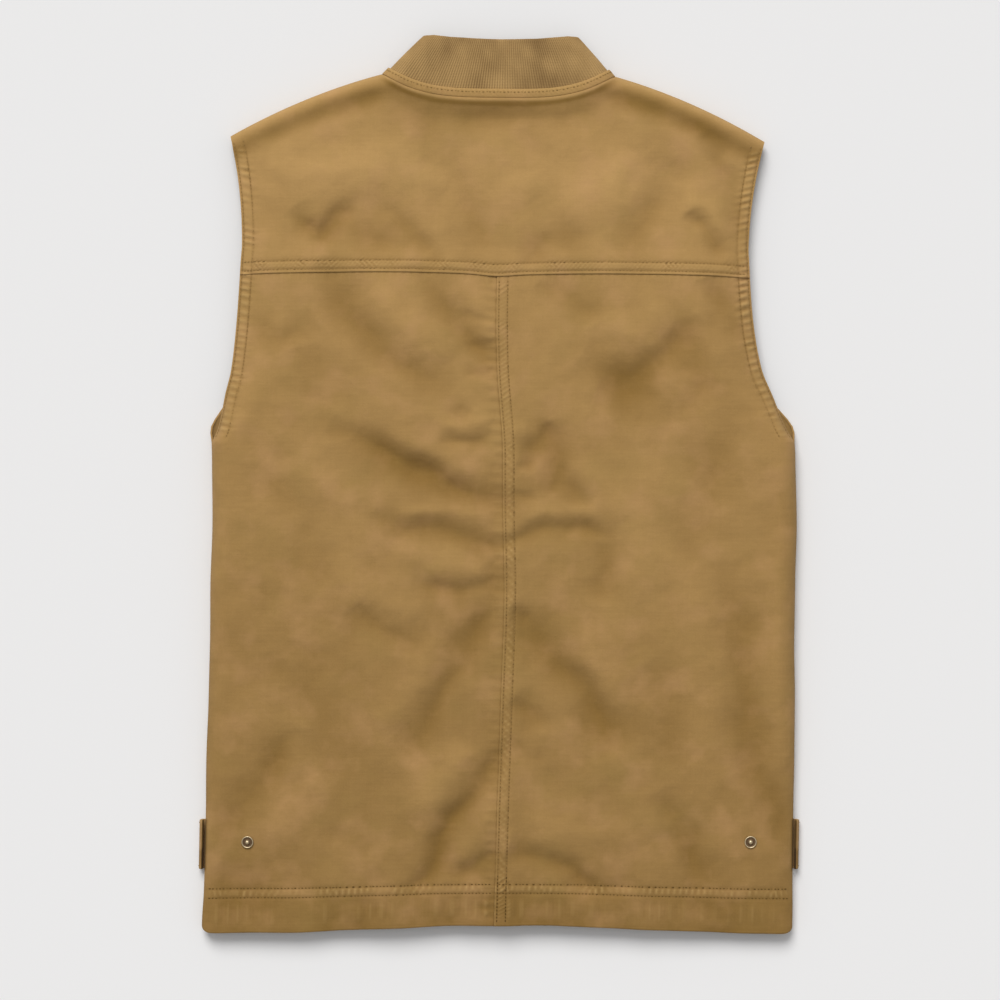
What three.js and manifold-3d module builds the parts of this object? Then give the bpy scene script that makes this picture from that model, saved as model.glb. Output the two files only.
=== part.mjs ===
// A sleeveless utility work vest in cotton canvas, lying face down on a flat surface with its back up.
// Millimetres, +Z up. +Y runs from the hem to the collar, +X is to the right of the back as it is seen.
// The vest is a flattened bag: the back is a domed sheet, the front lies flat below it, and the hollow
// between them is open at the hem, at both armholes and at the neck.
import * as THREE from "three";
import { mergeVertices } from "three/addons/utils/BufferGeometryUtils.js";
import Module from "manifold-3d";

const solids = await Module();
solids.setup();
const { clamp, lerp, smoothstep, degToRad } = THREE.MathUtils;

// Cloth, and the gap that separate pieces keep
const CANVAS = 1.6;
const KNIT = 2.3;
const GAP = 0.35;

// Plan of the back as it lies: half widths from its centre line, lengths up from the hem
const CHEST_HALF_WIDTH = 259.5;
const HEM_FLARE = 2.5;
const CROSS_BACK_HALF_WIDTH = 225;
const SHOULDER_HALF_WIDTH = 237.5;
const NECK_HALF_WIDTH = 104;
const BACK_LENGTH = 740.5;
const BACK_NECK_DIP = 22;
const SHOULDER_DROP = 56.5;
const SHOULDER_BOW = 5;
const SHOULDER_SLANT = 2.5;
const ARMHOLE_HEIGHT = 270;
const YOKE_DEPTH = 155.5;
const FRONT_NECK_DROP = 94;
const FRONT_ARMHOLE_INSET = 19;
const FRONT_OPENING = 10;
const HEM_DEPTH = 34;
const HEM_WALL = 2.6;
const HEM_RISE = 7.5;
const HEM_RISE_FADE = 102;

// Heights above the surface that the vest lies on, and how far in its folds are rounded
const BODY_LOFT = 30;
const SIDE_SEAM_HEIGHT = 9;
const ARMHOLE_EDGE_HEIGHT = 15;
const CROWN_FALL = 3;
const SIDE_ROUND = 17;
const ARMHOLE_ROUND = 46;
const SHOULDER_ROUND = 15;
const QUARTER_ROUND = 0.5;
const ARMHOLE_SOFTNESS = 0.9;
const ARMHOLE_OPENING = 0.25;
const FRONT_ARMHOLE_OPENING = 0.17;
const NECK_LIP = 2.2;
const NECK_LIP_WIDTH = 7;

// Lapped seams: how far the upper piece covers the lower one, and where it is level again
const YOKE_LAP = 11;
const CENTRE_LAP = 11;
const LAP_FADE = 14;

// Collar of rib knit in a canvas band
const BAND_HEIGHT = 7;
const NECK_EASE = 0.6;
const COLLAR_HEIGHT = 53;
const COLLAR_TOP_HALF_WIDTH = 72;
const COLLAR_TOP_DIP = 4.5;
const COLLAR_TOP_LOFT = 21;
const COLLAR_FOLD_HEIGHT = 11;
const COLLAR_FRONT_HEIGHT = 1.5;
const COLLAR_ROUND = 13;
const COLLAR_BULGE = 1.2;
const RIB_PITCH = 2.55;
const RIB_RELIEF = 0.5;

// Front zip
const ZIP_TAPE_WIDTH = 26;
const ZIP_TAPE = 0.9;
const ZIP_TEETH_WIDTH = 5.5;
const ZIP_END_GAP = 4;

// Waist tabs, and the studs on the back that they reach to
const TAB_HEIGHT = 78.5;
const TAB_WIDTH = 43;
const TAB_LENGTH = 62;
const TAB_WALL = 2.2;
const TAB_BULGE = 5.5;
const TAB_CORNER = 9;
const TAB_EASE = 2;
const TAB_SINK = 0.62;
const TAB_START = 60;
const STUD_HEIGHT = 81.5;
const STUD_INSET = 38.5;
const STUD_RADIUS = 5.4;
const STUD_RIM_WIDTH = 1.1;
const STUD_RIM_HEIGHT = 1.5;
const STUD_BALL_RADIUS = 2.1;
const STUD_BALL_HEIGHT = 2.9;
const STUD_BASE = 0.6;
const STUD_SHANK_RADIUS = 1.7;
const STUD_FLANGE_RADIUS = 4.6;
const STUD_RIM_SHOULDER = 0.75;
const STUD_GROOVE_SLOPE = 0.35;
const STUD_BALL_FOOT = 0.85;
const STUD_HOLE_LENGTH = 13;
const STUD_SIDES = 16;

// How finely the cloth is cut into flat facets
const NECK_STEPS = 6;
const SHOULDER_STEPS = 4;
const YOKE_STEPS = 4;
const BODY_STEPS = 17;
const ARMHOLE_STEPS = 8;
const ARMHOLE_CROWDING = 1.3;
const FRONT_STEPS = 6;
const FRONT_NECK_STEPS = 6;
const FRONT_COLUMNS = 3;
const TAB_STEPS = 3;
const TAB_FOLD_STEPS = 5;
const ROUND_TURNS = 3;
const ZIP_STEPS = 12;
const SLOPE_INSET = 2;

const HEM_HALF_WIDTH = CHEST_HALF_WIDTH + HEM_FLARE;
const NECK_POINT_Y = BACK_LENGTH + BACK_NECK_DIP;
const SHOULDER_TIP_Y = NECK_POINT_Y - SHOULDER_DROP;
const UNDERARM_Y = SHOULDER_TIP_Y - ARMHOLE_HEIGHT;
const YOKE_SEAM_Y = BACK_LENGTH - YOKE_DEPTH;
const FRONT_NECK_Y = NECK_POINT_Y - FRONT_NECK_DROP;

// The armhole's edge on the back and on the front, from the underarm up to the narrowest place:
// how far up the armhole, and how far out towards the chest's width
const BACK_ARMHOLE = [
  { up: 0.0, out: 1.0 },
  { up: 0.05, out: 0.8 },
  { up: 0.16, out: 0.52 },
  { up: 0.24, out: 0.31 },
  { up: 0.4, out: 0.13 },
  { up: 0.64, out: 0.0 },
];
const FRONT_ARMHOLE = [
  { up: 0.0, out: 1.0 },
  { up: 0.05, out: 1.0 },
  { up: 0.11, out: 0.8 },
  { up: 0.2, out: 0.45 },
  { up: 0.38, out: 0.1 },
  { up: 0.64, out: 0.0 },
];
const FRONT_NECK_ROUNDNESS = 2.2;
const BACK_NECK_ROUNDNESS = 3.4;

// How high the back lies along its length, as a share of its loft
const LOFT_ROWS = [
  { up: 0.0, height: 0.6 },
  { up: 0.1, height: 0.72 },
  { up: 0.35, height: 0.9 },
  { up: 0.68, height: 1.0 },
  { up: 0.88, height: 0.8 },
  { up: 1.0, height: 0.84 },
  { up: 1.08, height: 0.86 },
];

// How far the vest lies to one side along its length, and how far its centre seam lies from its middle,
// both as shares of the cross-back half width
const LEAN_ROWS = [
  { up: 0.0, aside: -0.01 },
  { up: 0.25, aside: 0.004 },
  { up: 0.57, aside: 0.015 },
  { up: 0.68, aside: -0.014 },
  { up: 0.78, aside: -0.02 },
  { up: 0.92, aside: -0.012 },
  { up: 1.08, aside: -0.002 },
];
const CENTRE_SEAM_ROWS = [
  { up: 0.0, aside: -0.012 },
  { up: 0.15, aside: -0.008 },
  { up: 0.28, aside: 0.0 },
  { up: 0.4, aside: 0.006 },
  { up: 0.52, aside: -0.003 },
  { up: 0.66, aside: 0.003 },
  { up: 0.82, aside: 0.011 },
];

// The main folds of the back. across is a share of the chest's half width, up, long and wide are
// shares of the back's length, turn is in degrees from +X and rise is a share of the loft.
const FOLD_ROWS = [
  { across: -0.28, up: 0.56, long: 0.3, wide: 0.022, turn: -24, rise: -0.14 },
  { across: -0.2, up: 0.525, long: 0.22, wide: 0.02, turn: -6, rise: 0.07 },
  { across: -0.2, up: 0.478, long: 0.22, wide: 0.02, turn: -4, rise: -0.11 },
  { across: -0.16, up: 0.415, long: 0.22, wide: 0.022, turn: 4, rise: -0.08 },
  { across: -0.2, up: 0.12, long: 0.3, wide: 0.026, turn: 56, rise: -0.13 },
  { across: -0.32, up: 0.17, long: 0.3, wide: 0.04, turn: 56, rise: 0.08 },
  { across: -0.14, up: 0.3, long: 0.24, wide: 0.026, turn: 58, rise: -0.07 },
  { across: -0.42, up: 0.7, long: 0.26, wide: 0.026, turn: -58, rise: -0.07 },
  { across: -0.2, up: 0.71, long: 0.24, wide: 0.024, turn: -56, rise: -0.07 },
  { across: 0.2, up: 0.5, long: 0.24, wide: 0.026, turn: -52, rise: -0.1 },
  { across: 0.2, up: 0.47, long: 0.2, wide: 0.018, turn: 2, rise: -0.08 },
  { across: 0.25, up: 0.3, long: 0.26, wide: 0.026, turn: -54, rise: -0.09 },
  { across: 0.42, up: 0.67, long: 0.2, wide: 0.03, turn: 12, rise: -0.1 },
  { across: 0.62, up: 0.66, long: 0.22, wide: 0.024, turn: -78, rise: -0.07 },
  { across: 0.28, up: 0.08, long: 0.3, wide: 0.022, turn: -8, rise: -0.08 },
  { across: -0.5, up: 0.88, long: 0.2, wide: 0.026, turn: 14, rise: -0.07 },
  { across: 0.62, up: 0.88, long: 0.22, wide: 0.026, turn: -50, rise: -0.07 },
];

// Value in a table's column part of the way along it, on a smooth curve through its rows
function through(rows, place, value, at) {
  const last = rows.length - 1;
  let i = 0;
  while (i < last - 1 && at > rows[i + 1][place]) i += 1;
  const slope = (k) => {
    const [before, after] = [rows[Math.max(k - 1, 0)], rows[Math.min(k + 1, last)]];
    return (after[value] - before[value]) / (after[place] - before[place]);
  };
  const [low, high] = [rows[i], rows[i + 1]];
  const step = high[place] - low[place];
  const t = clamp((at - low[place]) / step, 0, 1);
  const rise = high[value] - low[value];
  const [start, end] = [slope(i) * step, slope(i + 1) * step];
  return low[value] + t * start + t * t * (3 * rise - 2 * start - end) + t ** 3 * (start + end - 2 * rise);
}

// Evenly spaced numbers, and the places in from a rounded edge at which its turn is cut into equal parts
const evenly = (from, to, steps) => Array.from({ length: steps + 1 }, (_, i) => lerp(from, to, i / steps));
function roundStops(radius) {
  return evenly(0, Math.PI / 2, ROUND_TURNS).map((turn) => radius * (1 - Math.sin(turn)));
}

// A rounded fold: 0 at its edge, 1 from one radius in. A power of one half gives a quarter circle.
function rounded(inward, power = QUARTER_ROUND) {
  const left = 1 - clamp(inward, 0, 1);
  return (1 - left * left) ** power;
}

// Half widths of the back and of the front at a height above the hem
function halfWidth(y, armhole, inset) {
  if (y <= UNDERARM_Y) return lerp(HEM_HALF_WIDTH, CHEST_HALF_WIDTH, clamp(y / UNDERARM_Y, 0, 1));
  const narrowest = armhole[armhole.length - 1].up;
  const up = clamp((y - UNDERARM_Y) / ARMHOLE_HEIGHT, 0, 1);
  const narrow = CROSS_BACK_HALF_WIDTH - inset;
  if (up < narrowest) return narrow + (CHEST_HALF_WIDTH - narrow) * through(armhole, "up", "out", up);
  const climb = (up - narrowest) / (1 - narrowest);
  return narrow + (SHOULDER_HALF_WIDTH - narrow) * climb ** 2;
}
const backHalfWidth = (y) => halfWidth(y, BACK_ARMHOLE, 0);
const frontHalfWidth = (y) => halfWidth(y, FRONT_ARMHOLE, FRONT_ARMHOLE_INSET);

// The shoulder's fold line, which runs on straight inside the neck, the back neckline and the hem
function shoulderLine(x) {
  const out = (Math.abs(x) - NECK_HALF_WIDTH) / (SHOULDER_HALF_WIDTH - NECK_HALF_WIDTH);
  const bow = out > 0 && out < 1 ? 4 * SHOULDER_BOW * out * (1 - out) : 0;
  return NECK_POINT_Y - SHOULDER_DROP * out + bow;
}
function backNeckline(x) {
  return BACK_LENGTH + BACK_NECK_DIP * Math.min(Math.abs(x) / NECK_HALF_WIDTH, 1) ** BACK_NECK_ROUNDNESS;
}
function hemShift(x, y) {
  const rise = HEM_RISE * (1 - smoothstep(Math.abs(x), 0, HEM_HALF_WIDTH));
  return rise * Math.max(0, 1 - y / HEM_RISE_FADE);
}

// How wide an armhole is open at a height: 0 up to the underarm, 1 a quarter of the way up
const openness = (y) => smoothstep(y, UNDERARM_Y, UNDERARM_Y + ARMHOLE_HEIGHT * ARMHOLE_OPENING);

const leanAt = (y) => CROSS_BACK_HALF_WIDTH * through(LEAN_ROWS, "up", "aside", y / BACK_LENGTH);
const centreSeam = (y) => CROSS_BACK_HALF_WIDTH * through(CENTRE_SEAM_ROWS, "up", "aside", y / BACK_LENGTH);

// How much higher the left shoulder lies than the middle, and the right one lower
function slantAt(x, y) {
  return (-SHOULDER_SLANT * x * smoothstep(y, UNDERARM_Y, SHOULDER_TIP_Y)) / SHOULDER_HALF_WIDTH;
}

// Height of all folds together at a place on the back
function foldHeight(x, y) {
  let height = 0;
  for (const fold of FOLD_ROWS) {
    const turn = degToRad(fold.turn);
    const right = x - fold.across * CHEST_HALF_WIDTH;
    const above = y - fold.up * BACK_LENGTH;
    const along = (right * Math.cos(turn) + above * Math.sin(turn)) / (0.5 * fold.long * BACK_LENGTH);
    const over = (above * Math.cos(turn) - right * Math.sin(turn)) / (fold.wide * BACK_LENGTH);
    if (Math.abs(along) < 1) height += fold.rise * BODY_LOFT * (1 - along ** 2) ** 2 * Math.exp(-(over ** 2));
  }
  return height;
}

// Height of the back's outer face, without laps
function backHeight(x, y) {
  const open = openness(y);
  const inward = (backHalfWidth(y) - Math.abs(x)) / lerp(SIDE_ROUND, ARMHOLE_ROUND, open);
  const seam = SIDE_SEAM_HEIGHT + GAP / 2;
  const edge = lerp(seam, ARMHOLE_EDGE_HEIGHT, open);
  const crown = CROWN_FALL * (x / CHEST_HALF_WIDTH) ** 2;
  const loft = BODY_LOFT * through(LOFT_ROWS, "up", "height", y / BACK_LENGTH) - crown + foldHeight(x, y);
  const lip = NECK_LIP * Math.exp(-(((backNeckline(x) - y) / NECK_LIP_WIDTH) ** 2));
  const across = lerp(edge, loft, rounded(inward, lerp(QUARTER_ROUND, ARMHOLE_SOFTNESS, open)));
  const inNeck = Math.abs(x) < NECK_HALF_WIDTH ? lip : 0;
  return lerp(seam, across + inNeck, rounded((shoulderLine(x) - y) / SHOULDER_ROUND));
}

// How far the front is pushed up by the tab that lies below it
function tabPush(x, y) {
  const beside = Math.abs(y - TAB_HEIGHT) - TAB_WIDTH / 2 - TAB_EASE;
  const inside = frontHalfWidth(y) - TAB_LENGTH - TAB_EASE - Math.abs(x);
  return (TAB_WALL + GAP) * (1 - clamp(beside / SIDE_ROUND, 0, 1)) * (1 - clamp(inside / SIDE_ROUND, 0, 1));
}

// Height of the front's outer face, which is its lower one
function frontHeight(x, y) {
  const seam = SIDE_SEAM_HEIGHT - GAP / 2;
  const opened = UNDERARM_Y + ARMHOLE_HEIGHT * FRONT_ARMHOLE_OPENING;
  const edge = seam * (1 - smoothstep(y, UNDERARM_Y, opened));
  const across = lerp(edge, tabPush(x, y), rounded((frontHalfWidth(y) - Math.abs(x)) / SIDE_ROUND));
  return lerp(seam, across, rounded((shoulderLine(x) - y) / SHOULDER_ROUND));
}

// A corner of a sheet of cloth: its place, the wall behind it, and how its wall turns at a seam. tilt 0
// keeps the wall level, and facing, where it is given, is the way that the sheet faces there.
const corner = (x, y, z, { wall = CANVAS, tilt = 1, facing = null } = {}) => {
  return { at: new THREE.Vector3(x, y, z), wall, tilt, facing };
};

// A corner on the back, lifted off it along the way that it faces
function backCorner(x, y, lift, options) {
  const width = backHalfWidth(y) - SLOPE_INSET;
  const inside = clamp(x, -width, width);
  const across = (backHeight(inside + 1, y) - backHeight(inside - 1, y)) / 2;
  const along = (backHeight(x, y + 1) - backHeight(x, y - 1)) / 2;
  const facing = new THREE.Vector3(-across, -along, 1).normalize();
  const made = corner(x, y + hemShift(x, y), backHeight(x, y), options);
  if (lift > 0) made.at.addScaledVector(facing, lift);
  return made;
}

// Quads between rows of corners: rows run along +X and are listed along +Y
function quadsOf(rows, facingDown) {
  const width = rows[0].length;
  const quads = [];
  for (let row = 0; row + 1 < rows.length; row += 1) {
    for (let column = 0; column + 1 < width; column += 1) {
      const a = row * width + column;
      quads.push(facingDown ? [a, a + width, a + width + 1, a + 1] : [a, a + 1, a + width + 1, a + width]);
    }
  }
  return quads;
}

// A closed wall of cloth behind a sheet of corners
function clothWall(rows, facingDown = false) {
  const corners = rows.flat();
  const quads = quadsOf(rows, facingDown);
  const facing = corners.map(() => new THREE.Vector3());
  for (const [a, b, c, d] of quads) {
    const first = corners[c].at.clone().sub(corners[a].at);
    const normal = first.cross(corners[d].at.clone().sub(corners[b].at));
    for (const index of [a, b, c, d]) facing[index].add(normal);
  }
  const inner = corners.map((made, index) => {
    const way = (made.facing ?? facing[index]).clone().normalize();
    way.z *= made.tilt;
    return made.at.clone().addScaledVector(way.normalize(), -made.wall);
  });
  const count = corners.length;
  const faces = [];
  const border = new Map();
  for (const quad of quads) {
    const [a, b, c, d] = quad;
    faces.push([a, b, c], [a, c, d], [a + count, c + count, b + count], [a + count, d + count, c + count]);
    quad.forEach((from, k) => {
      const to = quad[(k + 1) % 4];
      if (!border.delete(`${to},${from}`)) border.set(`${from},${to}`, [from, to]);
    });
  }
  for (const [from, to] of border.values()) {
    faces.push([from, from + count, to + count], [from, to + count, to]);
  }
  return geometryOf([...corners.map((made) => made.at), ...inner], faces);
}

// A geometry from points and faces, leaning and slanting as the whole vest does
function geometryOf(points, faces) {
  const geometry = new THREE.BufferGeometry();
  const numbers = points.flatMap((p) => [p.x + leanAt(p.y), p.y + slantAt(p.x, p.y), p.z]);
  geometry.setAttribute("position", new THREE.Float32BufferAttribute(numbers, 3));
  geometry.setIndex(faces.flat());
  return geometry;
}

// One closed geometry cut by another
function cut(geometry, tool) {
  const solidOf = (part) => {
    const bare = part.clone();
    bare.deleteAttribute("normal");
    bare.deleteAttribute("uv");
    const merged = mergeVertices(bare);
    const vertProperties = merged.attributes.position.array;
    const triVerts = new Uint32Array(merged.index.array);
    return new solids.Manifold(new solids.Mesh({ numProp: 3, vertProperties, triVerts }));
  };
  const mesh = solidOf(geometry).subtract(solidOf(tool)).getMesh();
  const result = new THREE.BufferGeometry();
  result.setAttribute("position", new THREE.BufferAttribute(mesh.vertProperties, 3));
  result.setIndex(new THREE.BufferAttribute(mesh.triVerts, 1));
  return result;
}

// Where the columns of corners stand across the back at a height. The panels and the yoke share them,
// so that the cloth of a lap runs parallel.
function outward(start, width, between) {
  const turned = roundStops(SIDE_ROUND).slice(1).map((inward) => width - inward);
  return [...between(start, width - SIDE_ROUND), ...turned];
}
const lapColumns = (y) => [centreSeam(y), centreSeam(y) + CENTRE_LAP];
const panelSteps = (from, to) => evenly(from, to, NECK_STEPS + SHOULDER_STEPS);
function sideColumns(y, side) {
  const start = side < 0 ? LAP_FADE - centreSeam(y) : centreSeam(y) + CENTRE_LAP + LAP_FADE;
  const columns = outward(start, backHalfWidth(y), panelSteps).map((x) => side * x);
  return side < 0 ? columns.reverse() : columns;
}

// Where the same columns end at the yoke's top, crowded towards the point where the neck meets the shoulder
function topColumns(side) {
  const between = (from, to) => [
    from,
    ...evenly(0, 1, NECK_STEPS + 1).slice(2).map((turn) => NECK_HALF_WIDTH * Math.sin((turn * Math.PI) / 2)),
    ...evenly(NECK_HALF_WIDTH, to, SHOULDER_STEPS).slice(1),
  ];
  const below = sideColumns(YOKE_SEAM_Y, side);
  const start = Math.abs(side < 0 ? below.at(-1) : below[0]);
  const columns = outward(start, SHOULDER_HALF_WIDTH, between).map((x) => side * x);
  return side < 0 ? columns.reverse() : columns;
}
const yokeTop = [...topColumns(-1), ...lapColumns(YOKE_SEAM_Y), ...topColumns(1)];

// The neck's loop, from one front edge over the back of the neck to the other. Each place has its base
// at the neckline, its top at the collar's upper edge, and the way that it faces.
function neckLoop() {
  const peak = BACK_LENGTH + COLLAR_HEIGHT + COLLAR_TOP_DIP;
  const front = (turn, side) => {
    const power = 2 / FRONT_NECK_ROUNDNESS;
    const share = Math.max(Math.sin(turn) ** power, FRONT_OPENING / 2 / NECK_HALF_WIDTH);
    const [x, drop] = [side * share * NECK_HALF_WIDTH, Math.max(Math.cos(turn), 0) ** power];
    const y = NECK_POINT_Y - FRONT_NECK_DROP * drop;
    const top = lerp(peak, FRONT_NECK_Y + COLLAR_HEIGHT, drop);
    return { base: [x, y, frontHeight(x, y)], share: side * share, top, onBack: false };
  };
  const back = (x) => {
    const share = x / NECK_HALF_WIDTH;
    const y = backNeckline(x);
    const top = peak - COLLAR_TOP_DIP * (1 - share ** 2);
    return { base: [x, y, backHeight(x, y)], share, top, onBack: true };
  };
  const turns = frontNeckTurns();
  const acrossBack = yokeTop.filter((x) => Math.abs(x) < NECK_HALF_WIDTH + GAP);
  const places = [
    ...turns.slice(0, -1).map((turn) => front(turn, -1)),
    ...acrossBack.map(back),
    ...turns.slice(0, -1).reverse().map((turn) => front(turn, 1)),
  ];
  const round = (share) => rounded(((1 - Math.abs(share)) * COLLAR_TOP_HALF_WIDTH) / COLLAR_ROUND);
  for (const place of places) {
    place.base = new THREE.Vector3(...place.base);
    const layer = place.onBack ? COLLAR_TOP_LOFT : COLLAR_FRONT_HEIGHT;
    const z = lerp(COLLAR_FOLD_HEIGHT, layer, round(place.share));
    place.top = new THREE.Vector3(place.share * COLLAR_TOP_HALF_WIDTH, place.top, z);
  }
  places.forEach((place, i) => {
    const [before, after] = [places[Math.max(i - 1, 0)], places[Math.min(i + 1, places.length - 1)]];
    const along = after.base.clone().sub(before.base);
    place.facing = along.cross(place.top.clone().sub(place.base)).normalize();
  });
  return places;
}

// Turns of the front neckline from the centre front, 0, up to the neck point, a right angle, with its
// last stops spaced as the shoulder's fold needs them
function frontNeckTurns() {
  const turnAt = (below) => Math.acos(clamp(below / FRONT_NECK_DROP, 0, 1) ** (FRONT_NECK_ROUNDNESS / 2));
  const folds = roundStops(SHOULDER_ROUND).map(turnAt);
  return [...evenly(0, folds[0], FRONT_NECK_STEPS), ...folds.slice(1)];
}
const neck = neckLoop();

// A place on the neck's loop: up from the neckline and in from its outer face, which bulges on the back
function onNeck(place, up, inward) {
  const share = up / place.base.distanceTo(place.top);
  const bulge = COLLAR_BULGE * Math.max(place.facing.z, 0) * Math.sin(Math.PI * clamp(share, 0, 1));
  return place.base.clone().lerp(place.top, share).addScaledVector(place.facing, bulge - inward);
}

function makeYoke() {
  const atNeck = (x) => neck.find((place) => place.onBack && Math.abs(place.base.x - x) < GAP);
  const startY = YOKE_SEAM_Y + YOKE_LAP + LAP_FADE;
  const lowRows = [YOKE_SEAM_Y, YOKE_SEAM_Y + YOKE_LAP, startY].map((y, row) => {
    const [left, lap, right] = [sideColumns(y, -1), lapColumns(y), sideColumns(y, 1)];
    const step = row < 2 ? CANVAS + GAP : 0;
    return [...left, ...lap, ...right].map((x) => backCorner(x, y, lap.includes(x) ? 2 * step : step));
  });
  const start = lowRows.pop().map((made) => made.at.x / backHalfWidth(startY));
  const columns = yokeTop.map((x) => {
    const top = Math.abs(x) > NECK_HALF_WIDTH ? shoulderLine(x) : backNeckline(x);
    const length = top - startY;
    const folds = roundStops(SHOULDER_ROUND).slice(1).map((down) => length - down);
    const stops = [...evenly(0, length - SHOULDER_ROUND, YOKE_STEPS), ...folds];
    return { x, top, stops: stops.map((stop) => stop / length) };
  });
  const outermost = columns[0];
  const highRows = outermost.stops.map((_, row) => {
    const width = backHalfWidth(lerp(startY, outermost.top, outermost.stops[row]));
    return columns.map((column, k) => {
      const share = lerp(start[k], column.x / SHOULDER_HALF_WIDTH, column.stops[row]);
      const [x, y] = [share * width, lerp(startY, column.top, column.stops[row])];
      if (row < outermost.stops.length - 1) return backCorner(x, y, 0);
      const place = atNeck(column.x);
      return corner(x, y, backHeight(x, y), place ? { facing: place.facing } : { tilt: 0 });
    });
  });
  return clothWall([...lowRows, ...highRows]);
}

// Heights of the rows of corners on the back panels
function panelRows() {
  const body = evenly(HEM_DEPTH + 1, UNDERARM_Y, BODY_STEPS);
  const shares = evenly(0, 1, ARMHOLE_STEPS).slice(1);
  const crowded = shares.map((share) => lerp(UNDERARM_Y, YOKE_SEAM_Y, share ** ARMHOLE_CROWDING));
  return [0, HEM_DEPTH - 1, ...body, ...crowded, YOKE_SEAM_Y + YOKE_LAP];
}

function makeBackPanel(side) {
  const rows = panelRows().map((y) => {
    const wall = y < HEM_DEPTH ? HEM_WALL : CANVAS;
    const [lap, outer] = [lapColumns(y), sideColumns(y, side)];
    const columns = side < 0 ? [...outer, ...lap] : [...lap, ...outer];
    return columns.map((x) => {
      const lift = side > 0 && lap.includes(x) ? wall + GAP : 0;
      const onEdge = Math.abs(x) > backHalfWidth(y) - GAP;
      return backCorner(x, y, lift, { wall, tilt: onEdge ? openness(y) : 1 });
    });
  });
  const radius = STUD_SHANK_RADIUS + GAP;
  const hole = new THREE.CylinderGeometry(radius, radius, STUD_HOLE_LENGTH, STUD_SIDES);
  return cut(clothWall(rows), standing(hole, studPlace(side)));
}

// Where a stud stands on the back, and a geometry turned to stand there
function studPlace(side) {
  const x = side * (backHalfWidth(STUD_HEIGHT) - STUD_INSET);
  const slope = (dx, dy) => {
    return (backHeight(x + dx, STUD_HEIGHT + dy) - backHeight(x - dx, STUD_HEIGHT - dy)) / (2 * STUD_RADIUS);
  };
  const facing = new THREE.Vector3(-slope(STUD_RADIUS, 0), -slope(0, STUD_RADIUS), 1).normalize();
  const y = STUD_HEIGHT + hemShift(x, STUD_HEIGHT);
  return { at: new THREE.Vector3(x + leanAt(y), y, backHeight(x, STUD_HEIGHT)), facing };
}
function standing(geometry, place) {
  const turn = new THREE.Quaternion().setFromUnitVectors(new THREE.Vector3(0, 1, 0), place.facing);
  return geometry.applyQuaternion(turn).translate(...place.at.toArray());
}

// A press stud: flange inside the cloth, shank through it, and outside a rimmed dish with a ball in it
function makeStud(side) {
  const [inside, floor] = [-CANVAS - GAP, GAP + STUD_BASE];
  const groove = STUD_RADIUS - STUD_RIM_WIDTH;
  const ball = evenly(0, Math.PI / 2, ROUND_TURNS).map((turn) => [
    STUD_BALL_RADIUS * Math.cos(turn),
    GAP + STUD_BALL_HEIGHT - STUD_BALL_RADIUS * (1 - Math.sin(turn)),
  ]);
  const profile = [
    [0, inside - STUD_BASE],
    [STUD_FLANGE_RADIUS, inside - STUD_BASE],
    [STUD_FLANGE_RADIUS, inside],
    [STUD_SHANK_RADIUS, inside],
    [STUD_SHANK_RADIUS, GAP],
    [STUD_RADIUS, GAP],
    [STUD_RADIUS, GAP + STUD_RIM_SHOULDER * STUD_RIM_HEIGHT],
    [STUD_RADIUS - STUD_RIM_WIDTH / 2, GAP + STUD_RIM_HEIGHT],
    [groove, GAP + STUD_RIM_SHOULDER * STUD_RIM_HEIGHT],
    [groove - STUD_GROOVE_SLOPE, floor],
    [STUD_BALL_FOOT * STUD_BALL_RADIUS, floor],
    ...ball.slice(0, -1),
    [0, GAP + STUD_BALL_HEIGHT],
  ];
  const points = profile.map(([radius, height]) => new THREE.Vector2(radius, height));
  return standing(new THREE.LatheGeometry(points, STUD_SIDES), studPlace(side));
}

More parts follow.
